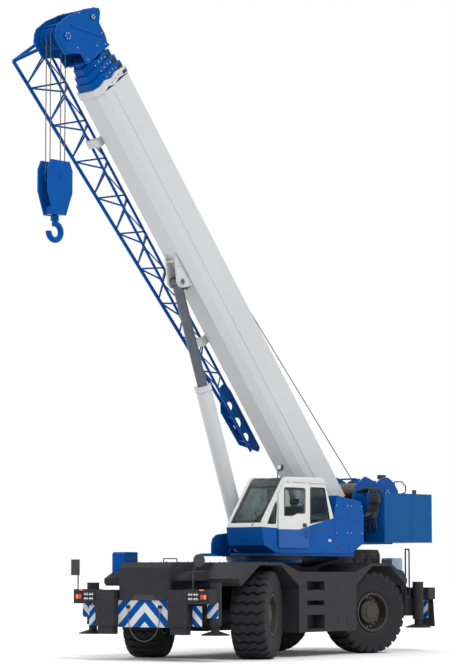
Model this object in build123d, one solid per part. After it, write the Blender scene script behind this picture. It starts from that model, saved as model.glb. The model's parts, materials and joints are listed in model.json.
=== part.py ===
from build123d import *
import math
import os

# Rough-terrain crane: two axles with four steered wheels, a slewing upper with the cab on its
# left, a five-section telescopic boom on one lift cylinder, and a lattice jib stowed beside it.
# Millimetres. +X is the carrier's forward axis, +Y its left, +Z up. The origin is on the ground
# under the middle of the wheelbase. The upper stands slewed and the boom raised, as at rest.

# ---------------------------------------------------------------- driving dimensions
wheelbase = 4750.0
track = 2560.0
tyre_radius = 900.0
tyre_width = 750.0
rim_flange_radius = 425.0
kingpin_spread = 2000.0          # between the left and right kingpins
front_steer = 18.0               # wheels stand turned to the left in front
rear_steer = -24.0               # and to the right behind
overall_width = 3300.0
front_end = 4680.0
rear_end = -4980.0
skirt_bottom = 520.0
arch_half_length = 1150.0
fender_thickness = 60.0
fender_clearance = 110.0         # between a wheel and the fender over it
step_deck_drop = 190.0           # the deck between the wheels is lower by this much
hood_rise = 320.0                # engine hood above the decks
lamp_box_low = 1140.0
lamp_box_high = 1430.0
board_half = 650.0               # half the width of the front warning board
board_low = 670.0
board_high = 1210.0
sling_half = 385.0               # half the spread of the sling between its eyes
sling_radius = 9.0
sling_top = 1045.0
frame_half_width = 430.0
frame_bottom = 1080.0
rail_height = 520.0
outrigger_x_front = 4120.0
outrigger_x_rear = -4330.0
jack_shift = 100.0               # each jack stands this much nearer the carrier's end
hood_half_width = 600.0
outrigger_stroke = 2100.0
jack_stroke = 420.0
float_radius = 290.0

slew_x = -110.0                  # slew axis, behind the middle of the wheelbase
slew_rest = -11.0                # degrees about +Z
slew_ring_radius = 780.0
turntable_bottom = 1970.0
ring_gap = 0.8                   # running gap of the slew ring
plate_bottom = 2115.0
turntable_top = 2175.0
rear_bed_bottom = 2400.0         # the bed is raised behind, over the engine hood
cheek_inner = 402.0              # half the gap between the boom's cheek plates
cheek_thickness = 45.0
foot_back = 2030.0               # boom foot pin behind the slew axis
foot_height = 3105.0
foot_pin_radius = 85.0
luff_rest = 51.2                 # degrees above level

cab_outer = 1478.0               # left face of the cab
cab_width = 1010.0
cab_wall = 45.0
tail_length = 4080.0
counterweight_half_width = 1400.0
counterweight_bottom = 2435.0
counterweight_top = 3520.0

boom_half_width = 376.0          # base section
boom_top = 420.0                 # above the foot pin's line
boom_bottom = -530.0
boom_seam = -150.0
boom_wall = 14.0
section_step = 36.0              # each section is smaller by this much all round
base_start = -260.0
base_end = 11090.0
section_start = 1300.0
collar_length = 150.0
collar_rim = 22.0
section_gap = 6.0                # between one collar and the next when closed
pad_clearance = 0.5
section_count = 5

lift_foot = (690.0, 2305.0)      # lower pin of the lift cylinder: forward of the slew axis, height
lift_eye = (6700.0, -745.0)      # upper pin: along the boom, above its line
lift_barrel_radius = 170.0
lift_rod_radius = 108.0
lift_barrel_length = 3640.0
lift_foot_radius = 112.0
lift_eye_half = 110.0
side_clearance = 6.0             # between a swinging eye and the plates beside it
pin_radius = 60.0
pin_clearance = 0.05

head_reach = 816.0               # main sheaves ahead of the last collar
head_drop = -560.0               # and above the boom's line
idler_rise = 300.0               # the top sheaves' pin above that line
idler_radius = 150.0
jib_overhang = 1300.0            # the stowed jib reaches past the base section
jib_tail = 2190.0                # and ends this far along the boom
head_sheave_radius = 230.0
head_half_width = 330.0
fall_length = 2700.0
rope_radius = 11.0
fall_gap = 0.3

os.makedirs("parts", exist_ok=True)


# ---------------------------------------------------------------- helpers
def block(x_range, y_range, z_range):
    """A box from its ranges along the three axes."""
    size = [abs(r[1] - r[0]) for r in (x_range, y_range, z_range)]
    mid = [(r[0] + r[1]) / 2 for r in (x_range, y_range, z_range)]
    return Pos(*mid) * Box(*size)


def slab_y(points, y_range):
    """An outline in X and Z, thick along Y."""
    low, high = sorted(y_range)
    face = Plane.XZ * make_face(Polyline(*points, close=True))
    return Pos(0, high, 0) * extrude(face, high - low, dir=(0, -1, 0))


def slab_x(points, x_range):
    """An outline in Y and Z, thick along X."""
    low, high = sorted(x_range)
    face = Plane.YZ * make_face(Polyline(*points, close=True))
    return Pos(low, 0, 0) * extrude(face, high - low, dir=(1, 0, 0))


def slab_z(points, z_range):
    """An outline in X and Y, thick along Z."""
    low, high = sorted(z_range)
    face = make_face(Polyline(*points, close=True))
    return Pos(0, 0, low) * extrude(face, high - low, dir=(0, 0, 1))


def soft_face(points, radius):
    """A flat outline with its corners rounded."""
    face = make_face(Polyline(*points, close=True))
    return fillet(face.vertices(), radius)


def soft_slab_y(points, y_range, radius):
    """An outline in X and Z with rounded corners, thick along Y."""
    low, high = sorted(y_range)
    return Pos(0, high, 0) * extrude(Plane.XZ * soft_face(points, radius), high - low, dir=(0, -1, 0))


def round_x(y, z, radius, x_range):
    """A cylinder along X."""
    low, high = sorted(x_range)
    return Pos((low + high) / 2, y, z) * Rot(0, 90, 0) * Cylinder(radius, high - low)


def round_y(x, z, radius, y_range):
    """A cylinder along Y."""
    low, high = sorted(y_range)
    return Pos(x, (low + high) / 2, z) * Rot(90, 0, 0) * Cylinder(radius, high - low)


def round_z(x, y, radius, z_range):
    """A cylinder along Z."""
    low, high = sorted(z_range)
    return Pos(x, y, (low + high) / 2) * Cylinder(radius, high - low)


def bar(start, end, radius):
    """A round bar from one point to another."""
    a, b = Vector(*start), Vector(*end)
    plane = Plane(origin=a, z_dir=b - a)
    return plane * Pos(0, 0, (b - a).length / 2) * Cylinder(radius, (b - a).length)


def brace(start, end, radius):
    """An eight-sided bar from one point to another, for a truss's web."""
    a, b = Vector(*start), Vector(*end)
    plane = Plane(origin=a, z_dir=b - a)
    return plane * extrude(RegularPolygon(radius, 8), (b - a).length)


def turned_y(points):
    """A solid turned about Y from an outline of (radius, along Y) points."""
    face = make_face(Polyline(*[(r, y) for r, y in points], close=True))
    return revolve(face, Axis.Y)


def joined(shapes):
    """One shape of all the given ones, fused where they meet."""
    first, *rest = shapes
    return first.fuse(*rest) if rest else first


def both_sides(shape):
    """The shape and its mirror image across the XZ plane."""
    return [shape, mirror(shape, Plane.XZ)]


def keep(name, shape, place=None):
    """Write one node's solids in the machine's frame."""
    shape = place * shape if place is not None else shape
    solids = shape.solids()
    out = solids[0] if len(solids) == 1 else Compound(children=list(solids))
    out.label = name
    export_step(out, f"parts/{name}.step")


# ---------------------------------------------------------------- frames
upper = Pos(slew_x, 0, 0) * Rot(0, 0, slew_rest)
boom = upper * Pos(-foot_back, 0, foot_height) * Rot(0, -luff_rest, 0)
axle_front_x = wheelbase / 2
axle_rear_x = -wheelbase / 2
kingpin_y = kingpin_spread / 2
wheel_offset = track / 2 - kingpin_y


# ---------------------------------------------------------------- carrier
deck_height = 2 * tyre_radius + fender_clearance + fender_thickness
step_deck_height = deck_height - step_deck_drop
frame_top = frame_bottom + rail_height
yoke_arm_bottom = 195.0
yoke_arm_top = 262.0
knuckle_radius = 110.0
kingpin_radius = 50.0
axle_tube_radius = 150.0
bowl_radius = 300.0


def make_axle(axle_x):
    """A drive axle: centre bowl, tubes, and a yoke at each end for the knuckle."""
    body = [Pos(axle_x, 0, tyre_radius) * Sphere(bowl_radius),
            round_y(axle_x, tyre_radius, axle_tube_radius, (-kingpin_y + 160, kingpin_y - 160))]
    for side in (1, -1):
        web = block((axle_x - knuckle_radius, axle_x + knuckle_radius),
                    (side * (kingpin_y - 240), side * (kingpin_y - 125)),
                    (tyre_radius - yoke_arm_top, tyre_radius + yoke_arm_top))
        body.append(web)
        for up in (1, -1):
            z_range = (tyre_radius + up * yoke_arm_bottom, tyre_radius + up * yoke_arm_top)
            arm = block((axle_x - knuckle_radius, axle_x + knuckle_radius),
                        (side * (kingpin_y - 130), side * kingpin_y), z_range)
            body.append(arm)
            body.append(round_z(axle_x, side * kingpin_y, knuckle_radius, z_range))
    axle = joined(body)
    seats = [block((axle_x - 190, axle_x + 190), (side * 300, side * frame_half_width),
                   (tyre_radius + 60, frame_bottom)) for side in (1, -1)]
    axle = axle.fuse(*seats)
    for side in (1, -1):
        axle -= round_z(axle_x, side * kingpin_y, kingpin_radius + pin_clearance,
                        (tyre_radius - 400, tyre_radius + 400))
    return axle


def make_knuckle(side):
    """The steered knuckle about its kingpin, with the spindle that carries the wheel."""
    housing = round_z(0, 0, knuckle_radius, (-yoke_arm_bottom + 5, yoke_arm_bottom - 5))
    pin = round_z(0, 0, kingpin_radius, (-yoke_arm_top - 8, yoke_arm_top + 8))
    flange = round_y(0, 0, 175, (side * 95, side * 135))
    spindle = round_y(0, 0, spindle_radius, (side * 60, side * (wheel_offset + 120)))
    return joined([housing, pin, flange, spindle])


spindle_radius = 130.0


def make_rim():
    """The wheel: barrel with flanges, dished disc, and planetary hub, outboard along +Y."""
    half = tyre_width / 2 - 45
    barrel = [(380, -half), (rim_flange_radius, -half), (rim_flange_radius, -half + 25),
              (400, -half + 40), (400, half - 40), (rim_flange_radius, half - 25),
              (rim_flange_radius, half), (380, half)]
    disc = [(200, 20), (300, 60), (385, 60), (385, 100), (280, 100), (200, 75)]
    hub = [(spindle_radius + pin_clearance, -135), (220, -135), (250, -60), (250, 235),
           (225, 262), (150, 262), (140, 285), (0, 285), (0, 130),
           (spindle_radius + pin_clearance, 130)]
    return joined([turned_y(barrel), turned_y(disc), turned_y(hub)])


def make_tyre():
    """The tyre as a ring: bead, bulged sidewall, square shoulder and flat crown."""
    half = tyre_width / 2
    bead_y = half - 45 - 25
    crown = tyre_radius
    points = [(400, -bead_y + 17), (rim_flange_radius + 1, -bead_y + 2),
              (rim_flange_radius + 60, -half + 20), (crown - 230, -half + 4), (crown - 120, -half),
              (crown - 45, -half + 22), (crown, -half + 75),
              (crown, half - 75), (crown - 45, half - 22), (crown - 120, half),
              (crown - 230, half - 4), (rim_flange_radius + 60, half - 20),
              (rim_flange_radius + 1, bead_y - 2), (400, bead_y - 17)]
    return turned_y(points)


def make_frame():
    """Two box rails joined by the deep centre box, cross members and the slew pedestal."""
    rails = [block((rear_end + 400, front_end - 250), (side * 280, side * frame_half_width),
                   (frame_bottom, frame_top)) for side in (1, -1)]
    centre = block((-1130, 1130), (-760, 760), (frame_bottom - 230, 1880))
    members = [block((x - 60, x + 60), (-300, 300), (frame_bottom + 60, frame_bottom + 400))
               for x in (-3750, -2850, 2900, 3600)]
    pedestal = round_z(slew_x, 0, slew_ring_radius, (1870, turntable_bottom - 45))
    ring = round_z(slew_x, 0, slew_ring_radius - 60, (turntable_bottom - 46, turntable_bottom - ring_gap))
    frame = joined([*rails, centre, *members, pedestal, ring])
    for x in (outrigger_x_front, outrigger_x_rear):
        frame -= block((x - box_depth / 2, x + box_depth / 2), (-1000, 1000), (0, box_high))
    return frame


def arch_line(axle_x, low, high, reach=arch_half_length):
    """The opening over one wheel: straight sides, slopes, and a flat top."""
    return [(axle_x - reach, low), (axle_x - reach, high - 420), (axle_x - 420, high),
            (axle_x + 420, high), (axle_x + reach, high - 420), (axle_x + reach, low)]


deck_rear_end = axle_rear_x - arch_half_length - 60


def make_side_deck():
    """Left side: skirt between the wheels with step pockets, and the fenders over them."""
    half = overall_width / 2
    top = deck_height
    outline = [(axle_front_x + arch_half_length + 60, top - 330), (axle_front_x + 460, top),
               (axle_front_x - 460, top), (axle_front_x - 1180, step_deck_height),
               (axle_rear_x + 1180, step_deck_height), (axle_rear_x + 460, top),
               (axle_rear_x - 460, top), (axle_rear_x - arch_half_length - 60, top - 330),
               (axle_rear_x - arch_half_length - 60, top - 420),
               (axle_rear_x - arch_half_length, top - 420 - fender_thickness)]
    roof = deck_height - fender_thickness
    outline += [(axle_rear_x - 420, roof), (axle_rear_x + 420, roof),
                (axle_rear_x + arch_half_length, roof - 420),
                (axle_rear_x + arch_half_length, skirt_bottom),
                (axle_front_x - arch_half_length, skirt_bottom),
                (axle_front_x - arch_half_length, roof - 420), (axle_front_x - 420, roof),
                (axle_front_x + 420, roof), (axle_front_x + arch_half_length, roof - 420),
                (axle_front_x + arch_half_length + 60, roof - 420 + 60)]
    deck = slab_y(outline, (frame_half_width + 340, half))
    over_wheels = slab_y(outline, (hood_half_width, frame_half_width + 340))
    over_wheels -= block((-1200, 1200), (0, half), (skirt_bottom - 10, deck_height + 10))
    deck = deck.fuse(*over_wheels.solids())
    for low, high in step_pockets:
        deck -= block((160, 900), (half - 260, half + 1), (low, high))
    return deck


step_pockets = ((570, 880), (1060, 1180), (1380, 1580))


def make_front_body():
    """The front hood: a raised middle with lower shoulders, ahead of and over the front axle."""
    hood = slab_y([(1130, frame_top), (1130, deck_height - 90), (1300, deck_height),
                   (front_end - 300, deck_height), (front_end - 120, deck_height - 110),
                   (front_end - 120, board_high), (front_end - 180, board_high),
                   (front_end - 240, frame_top)],
                  (-hood_half_width, hood_half_width))
    shoulder = slab_y([(3600, frame_top), (3600, deck_height - 170),
                       (front_end - 350, deck_height - 210), (front_end - 260, deck_height - 320),
                       (front_end - 260, frame_top)], (-930, 930))
    return joined([hood, shoulder])


tail_top = (rear_end + 780, deck_height - 70)
tail_edge = (rear_end + 200, deck_height - 170)


def make_rear_body():
    """The engine hood over the rear rails, with the lower tail behind it."""
    top = deck_height + hood_rise
    hood = slab_y([(-1130, frame_top), (-1130, deck_height - 70), (-2300, deck_height + 90),
                   (-2450, top), (rear_end + 830, top), (rear_end + 730, top - 110),
                   (rear_end + 730, frame_top)], (-hood_half_width, hood_half_width))
    tail = slab_y([(rear_end + 780, frame_top), tail_top, tail_edge,
                   (rear_end + 120, deck_height - 270), (rear_end + 120, 1450),
                   (rear_end + 320, 1450), (rear_end + 340, frame_top)], (-930, 930))
    cavity = block((rear_end + 980, -2600), (-hood_half_width + 60, hood_half_width - 60),
                   (frame_top - 1, top - 90))
    return joined([hood, tail]) - cavity


def make_outrigger_box(x):
    """Two square tubes side by side across the carrier: one for each beam."""
    out = []
    for shift in (-1, 1):
        mid = x + shift * beam_spread
        tube = block((x, x + shift * box_depth / 2), (-1290, 1290), (box_low, box_high))
        tube -= block((mid - beam_depth / 2 - pad_clearance, mid + beam_depth / 2 + pad_clearance),
                      (-1300, 1300), (beam_low - pad_clearance, beam_high + pad_clearance))
        out.append(tube)
    return joined(out)


beam_depth = 250.0
beam_wall = 20.0
beam_low = 850.0
beam_high = 1170.0
beam_spread = (beam_depth + beam_wall) / 2
box_depth = 2 * beam_depth + 3 * beam_wall + 4 * pad_clearance
box_low = beam_low - 22
box_high = beam_high + 22


def make_beam(x, side):
    """One outrigger beam, with the jack's sleeve at its outer end."""
    mid = x + side * beam_spread
    jack_x = x + math.copysign(jack_shift, x)
    beam = block((mid - beam_depth / 2, mid + beam_depth / 2), (side * -1080, side * 1330),
                 (beam_low, beam_high))
    sleeve = round_z(jack_x, side * jack_y, 125, (float_low + 190, jack_top))
    arm = block((x - 260, x + 260), (side * 1300, side * 1345), (beam_low - 60, beam_high + 60))
    tie = block((jack_x - 90, jack_x + 90), (side * 1340, side * (jack_y - 20)),
                (beam_low, beam_high))
    beam = joined([beam, arm, tie, sleeve])
    return beam - round_z(jack_x, side * jack_y, 85 + pin_clearance, (0, jack_top - 40))


jack_y = 1480.0
jack_top = 1560.0
float_low = 520.0


def make_jack(x, side):
    """The jack's rod with its flat cone-shaped float."""
    jack_x = x + math.copysign(jack_shift, x)
    rod = round_z(jack_x, side * jack_y, 85, (float_low + 60, jack_top - 60))
    foot = Pos(jack_x, side * jack_y, float_low + 50) * Cone(float_radius, 110, 60)
    rim = round_z(jack_x, side * jack_y, float_radius, (float_low, float_low + 21))
    return joined([rod, foot, rim])


def make_front_bumper():
    """Vertical posts either side of the warning board, and arms out to the lamp boxes."""
    parts = []
    for side in (1, -1):
        parts.append(block((front_end - 250, front_end), (side * board_half, side * 1100),
                           (board_low + 20, lamp_box_high - 10)))
        parts.append(block((front_end - 210, front_end - 30), (side * 690, side * 1060),
                           (board_low - 140, board_low + 20)))
        parts.append(block((front_end - 250, front_end), (side * 1100, side * 1640),
                           (lamp_box_low, lamp_box_high)))
        eye = block((board_face - 1, board_face + 70), (side * sling_half - 30, side * sling_half + 30),
                    (sling_top, sling_top + 65))
        parts.append(eye)
    parts.append(block((board_face - 20, board_face), (-board_half, board_half),
                       (board_low, board_high)))
    parts.append(block((front_end - 250, board_face - 20), (-board_half, board_half),
                       (board_high - 110, board_high - 5)))
    return joined(parts)


board_face = front_end - 160


def make_sling():
    """The lifting sling that hangs in front of the board from one eye to the other."""
    half = [(sling_half, sling_top), (sling_half, 830), (335, 620), (220, 465), (75, 395)]
    points = half + [(-y, z) for y, z in reversed(half)]
    places = [Vector(board_face + 40, y, z) for y, z in points]
    wires = []
    start = places[0]
    for before, corner, after in zip(places, places[1:], places[2:]):
        turn = (corner - before).get_angle(after - corner)
        reach = 0.45 * min((corner - before).length, (after - corner).length)
        radius = reach / math.tan(math.radians(turn) / 2)
        print(f"sling bend {radius:.0f} mm")
        first = corner + (before - corner).normalized() * reach
        last = corner + (after - corner).normalized() * reach
        wires.append(Line(start, first))
        wires.append(TangentArc(first, last, tangent=corner - before))
        start = last
    wires.append(Line(start, places[-1]))
    path = Wire(wires)
    section = Plane(origin=places[0], z_dir=places[1] - places[0]) * Circle(sling_radius)
    rope = sweep(section, path=path)
    print(f"sling length {path.length:.0f} mm, volume ratio "
          f"{rope.volume / (path.length * math.pi * sling_radius ** 2):.4f}")
    return rope


def make_rear_bumper():
    """The tail's cross plate with a lamp box and a mud plate on each side."""
    low = lamp_box_low + 20
    parts = [block((rear_end, rear_end + 60), (-1640, 1640), (low, lamp_box_high))]
    for side in (1, -1):
        parts.append(block((rear_end, rear_end + 320), (side * 1150, side * 1640),
                           (low, lamp_box_high)))
        parts.append(block((rear_end, rear_end + 320), (side * 650, side * 930), (low, 1450)))
        parts.append(slab_x([(side * 1220, low), (side * 1600, low), (side * 1640, 540),
                             (side * 1200, 540)], (rear_end + 20, rear_end + 40)))
    return joined(parts)


def make_lamps():
    """Amber lamps and lamp clusters on the front and rear boxes."""
    out = []
    for side in (1, -1):
        out.append(block((front_end, front_end + 30), (side * 1130, side * 1380), (1200, 1370)))
        out.append(block((front_end, front_end + 25), (side * 1430, side * 1570), (1240, 1320)))
        out.append(block((rear_end - 25, rear_end), (side * 1180, side * 1580), (1220, 1370)))
    return joined(out)


def make_mirrors():
    """A tall mirror on the right lamp box and a round one on the left, on bent stalks."""
    x = front_end - 80
    tall = [bar((x, -1590, lamp_box_high), (x, -1590, 1760), 13),
            bar((x, -1590, 1760), (x, -1625, 1990), 13),
            block((x + 8, x + 45), (-1735, -1545), (1710, 2030))]
    wide = [bar((x, 1200, lamp_box_high), (x, 1200, 1800), 13),
            bar((x, 1200, 1800), (x, 1350, 1985), 13),
            round_x(1360, 2000, 125, (x + 8, x + 50))]
    elbows = [Pos(x, -1590, 1760) * Sphere(13), Pos(x, 1200, 1800) * Sphere(13)]
    return joined([*tall, *wide, *elbows])


def make_deck_box():
    """A tool box on the right deck's front slope."""
    rear, front = axle_front_x + 480, axle_front_x + 980
    drop = 330 / (arch_half_length + 60 - 460)
    low = [(x, deck_height - drop * (x - axle_front_x - 460)) for x in (rear, front)]
    return slab_y([*low, (front, deck_height + 180), (front - 40, deck_height + 220),
                   (rear, deck_height + 220)], (-overall_width / 2 + 40, -overall_width / 2 + 340))


def make_tank():
    """A small tank on the left of the tail."""
    run = (tail_top[1] - tail_edge[1]) / (tail_top[0] - tail_edge[0])
    rear, front = tail_edge[0] + 30, tail_top[0] - 40
    low = [(x, tail_edge[1] + run * (x - tail_edge[0])) for x in (rear, front)]
    return slab_y([*low, (front, 2060), (front - 40, 2100), (rear + 40, 2100), (rear, 2060)],
                  (640, 915))


def make_rails():
    """Handrails: hoops behind and grab handles on the hood."""
    out = []
    for side in (1, -1):
        for x in (-3680, -3860):
            out.append(bar((x, side * 1560, 1190), (x, side * 1560, 2290), 17))
        out.append(bar((-3680, side * 1560, 2290), (-3860, side * 1560, 2290), 17))
        out.append(bar((deck_rear_end, side * 1560, 1560), (-3680, side * 1560, 1560), 17))
        out.append(bar((-3680, side * 1560, 1230), (-3860, side * 1560, 1230), 17))
    for y in (-480, 480):
        for end in (-160, 160):
            out.append(bar((handle_x, y + end, deck_height), (handle_x, y + end, deck_height + 70), 11))
        out.append(bar((handle_x, y - 160, deck_height + 70), (handle_x, y + 160, deck_height + 70), 11))
    return joined(out)


handle_x = front_end - 350
keep("carrier_frame", make_frame())
keep("axles", joined([make_axle(axle_front_x), make_axle(axle_rear_x)]))
keep("engine_block", block((-3900, -2700), (-270, 270), (frame_bottom + 400, 2130)))
keep("side_decks", joined(both_sides(make_side_deck())))
keep("front_body", make_front_body())
keep("rear_body", make_rear_body())
keep("outrigger_boxes", joined([make_outrigger_box(outrigger_x_front),
                                make_outrigger_box(outrigger_x_rear)]))
keep("front_bumper", make_front_bumper())
keep("rear_bumper", make_rear_bumper())
keep("lamps", make_lamps())
keep("handrails", make_rails())
keep("mirrors", make_mirrors())
keep("deck_box", make_deck_box())
keep("tank", make_tank())
keep("tow_rope", make_sling())

for end, axle_x, steer in (("front", axle_front_x, front_steer), ("rear", axle_rear_x, rear_steer)):
    box_x = outrigger_x_front if end == "front" else outrigger_x_rear
    for hand, side in (("left", 1), ("right", -1)):
        knuckle = Pos(axle_x, side * kingpin_y, tyre_radius) * Rot(0, 0, steer)
        wheel = knuckle * Pos(0, side * wheel_offset, 0) * Rot(0, 0, 0 if side > 0 else 180)
        keep(f"knuckle_{end}_{hand}", make_knuckle(side), knuckle)
        keep(f"rim_{end}_{hand}", make_rim(), wheel)
        keep(f"tyre_{end}_{hand}", make_tyre(), wheel)
        keep(f"outrigger_{end}_{hand}", make_beam(box_x, side))
        keep(f"jack_{end}_{hand}", make_jack(box_x, side))


# ---------------------------------------------------------------- upper structure
def make_turntable():
    """The bed plate that turns on the slew ring."""
    disc = round_z(0, 0, slew_ring_radius + 40, (turntable_bottom, plate_bottom + 1))
    plate = slab_z([(-1750, -700), (-1300, -700), (-1300, -1350), (-100, -1350), (-100, -700),
                    (1300, -700), (1300, cab_outer - 38), (-1300, cab_outer - 38), (-1300, 700),
                    (-1750, 700)], (plate_bottom, turntable_top))
    slot_half = lift_barrel_radius + side_clearance + 14
    x, z = lift_foot
    slot = block((x - 60, 1400), (-slot_half, slot_half), (z - 184 - 60, turntable_top + 1))
    return joined([disc, plate]) - slot


def make_cheeks():
    """The two cheek plates that hold the boom's foot, the raised rear bed, and the brackets."""
    rear_bed = block((-3350, -1950), (-850, 850), (rear_bed_bottom, counterweight_bottom + 25))
    cheek = slab_y([(-1750, turntable_top), (-2000, rear_bed_bottom), (-3350, rear_bed_bottom),
                    cheek_tail, cheek_top, (-foot_back + 120, cheek_top[1]), (-1300, 2950),
                    (500, 2640), (1060, 2580), (1180, 2500), (1220, 2380), (1220, turntable_top)],
                   (cheek_inner, cheek_inner + cheek_thickness))
    inner = lift_barrel_radius + side_clearance
    x, z = lift_foot
    bracket = slab_y([(x - 260, turntable_top), (x - 110, z + 90), (x + 110, z + 90),
                      (x + 260, turntable_top)], (inner, inner + 40))
    cap = round_y(x, z, pin_radius + 25, (inner + 39, inner + 60))
    cheeks = joined([rear_bed, *both_sides(cheek)])
    cheeks -= round_y(-foot_back, foot_height, foot_pin_radius + pin_clearance, (-600, 600))
    brackets = both_sides(joined([bracket, cap]))
    return Compound(children=[*cheeks.solids(), *brackets])


cheek_top = (-2450.0, foot_height + 250)
cheek_tail = (-3350.0, 2900.0)


cab_corners = (
    # forward of the slew axis, height, corner radius
    (1700, 2710, 0),
    (1640, 2860, 90),
    (985, 3775, 190),
    (-255, 3790, 80),
    (-580, 2930, 0),
    (580, 2670, 0),
)


def cab_profile(inset):
    """The cab's side outline above the waist, moved inwards."""
    face = make_face(Polyline(*[(x, z) for x, z, _ in cab_corners], close=True))
    for x, z, radius in cab_corners:
        if radius:
            corner = face.vertices().sort_by_distance(Vector(x, z, 0))[0]
            face = fillet(corner, radius)
    return offset(face, -inset, kind=Kind.INTERSECTION) if inset else face


def cab_slab(inset):
    """The cab's outline across its width, moved inwards on every side but the floor."""
    face = Plane.XZ * cab_profile(inset)
    low, high = cab_outer - cab_width + inset, cab_outer - inset
    return Pos(0, high, 0) * extrude(face, high - low, dir=(0, -1, 0))


cab_windows = (
    # name, outline in X and Z, which side it goes through
    ("quarter", ((1540, 2780), (1275, 2780), (1230, 3340)), "left"),
    ("rear_left", ((180, 2800), (-460, 2900), (-290, 3570), (180, 3570)), "left"),
    ("front_right", ((1430, 2860), (400, 2860), (400, 3560), (1010, 3560)), "right"),
    ("rear_right", ((250, 2860), (-430, 2960), (-290, 3570), (250, 3570)), "right"),
)
door_opening = (290, 1190, 2300, 3600)


def window_cutter(outline, side):
    """The cutting block of a side window."""
    inner, outer = cab_outer - cab_width, cab_outer
    y_range = (outer - 150, outer + 50) if side == "left" else (inner - 50, inner + 150)
    return soft_slab_y(outline, y_range, 35)


def all_cutters():
    """Every cut in the cab: side windows, windscreen with roof glass, and rear window."""
    middle = cab_outer - cab_width / 2
    half = cab_width / 2 - 75
    cutters = [window_cutter(outline, side) for _, outline, side in cab_windows]
    screen = slab_y([(1800, 2800), (1580, 2800), (1000, 3560), (560, 3700), (560, 3900),
                     (1100, 3900)], (middle - half, middle + half))
    rear = slab_y([(-300, 3020), (-300, 3560), (-700, 3560), (-700, 3020)],
                  (middle - half, middle + half))
    return cutters + [screen, rear]


def make_cab_shell():
    """The cab above its waist, hollow, with window and door openings cut."""
    shell = cab_slab(0) - cab_slab(cab_wall)
    floor_cut = slab_y([(1590, 2600), (1560, 2790), (-420, 2960), (-420, 2600)],
                       (cab_outer - cab_width + cab_wall, cab_outer - cab_wall))
    shell -= floor_cut
    for cutter in all_cutters():
        shell -= cutter
    x0, x1, _, z1 = door_opening
    shell -= slab_y([(x0, 2500), (x1, 2500), (x1, z1 - 270), (x1 - 180, z1), (x0, z1)],
                    (cab_outer - 100, cab_outer + 100))
    rail = block((x0 - door_travel + 20, x1 - 270), (cab_outer - 20, cab_outer + 5 + door_thickness),
                 (door_rail_low, door_rail_low + 22))
    return shell + rail


def make_cab_glass():
    """Panes that fill the window openings, set in from the outer face."""
    skin = cab_slab(14) - cab_slab(20)
    return Compound(children=[s for c in all_cutters() for s in (skin & c).solids()])


def make_side_body():
    """The tub under the cab and the raised cover behind it."""
    inner = cab_outer - cab_width
    outline = [(1715, 2710), (580, 2670), (-580, 2930), (-700, 3420), (-1500, 3300),
               (-1590, 3000), (-1590, 2410), (-1190, turntable_top), (1250, turntable_top),
               (1640, 2330)]
    tub = slab_y(outline, (inner, cab_outer))
    well = slab_y([(1640, 2380), (1640, 3000), (-500, 3000), (-500, 2240), (1220, 2240)],
                  (inner + cab_wall, cab_outer - cab_wall))
    x0, x1, z0, _ = door_opening
    tub -= well
    return tub - block((x0, x1), (cab_outer - 100, cab_outer + 100), (z0, 2900))


def make_door_panel():
    """The sliding door, hung outside the cab's left face."""
    x0, x1, z0, z1 = door_opening
    panel = soft_slab_y([(x0 - 30, z0 - 20), (x1 + 30, z0 - 20), (x1 + 30, z1 - 220),
                         (x1 - 140, z1 + 50), (x0 - 30, z1 + 50)],
                        (cab_outer + 5, cab_outer + 5 + door_thickness), 45)
    shoes = [block((x0 + along - 40, x0 + along + 40), (cab_outer + 10, cab_outer + 5 + door_thickness),
                   (z1 + 40, door_rail_low - runner_gap)) for along in (60, 540)]
    return joined([panel, *shoes]) - soft_slab_y(door_window, (cab_outer, cab_outer + 100), 40)


door_thickness = 28.0
door_travel = 700.0
door_rail_low = 3662.0
runner_gap = 0.5
door_window = ((1040, 2960), (1040, 3540), (390, 3540), (390, 3015), (640, 3015), (800, 2960))


def make_seat():
    """Operator's seat on its pedestal, with the steering column and side consoles."""
    y = cab_outer - cab_width / 2
    seat = [block((150, 650), (y - 250, y + 250), (2600, 2720)),
            block((60, 190), (y - 240, y + 240), (2720, 3350)),
            block((200, 600), (y - 180, y + 180), (2240, 2600)),
            block((150, 760), (y - 380, y - 270), (2240, 2860)),
            block((1060, 1180), (y - 60, y + 60), (2240, 2962))]
    wheel = Pos(1100, y, 2960) * Rot(0, -35, 0) * Cylinder(200, 26)
    return joined(seat + [wheel])


def make_counterweight():
    """The weight slab across the tail with an arm along each side."""
    rear = block((-tail_length, -3350), (-counterweight_half_width, counterweight_half_width),
                 (counterweight_bottom, counterweight_top))
    arms = [block((-3351, -2400), (side * 860, side * counterweight_half_width),
                  (counterweight_bottom, counterweight_top)) for side in (1, -1)]
    pocket = block((-3990, -3340), (-cheek_inner, cheek_inner),
                   (winch_height - winch_flange_radius - 20, counterweight_top + 1))
    lug_x = -tail_length + 130
    lugs = [block((lug_x - 50, lug_x + 50), (side * 1000 - 20, side * 1000 + 20),
                  (counterweight_top - 1, counterweight_top + 110)) for side in (1, -1)]
    hole = round_y(lug_x, counterweight_top + 65, 28, (-1100, 1100))
    return joined([rear, *arms, *lugs]) - pocket - hole


winches = (("main", -2920.0), ("aux", -3640.0))
winch_height = 3572.0
winch_drum_radius = 190.0
winch_flange_radius = 300.0


tail_face = -tail_length + 20


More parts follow.
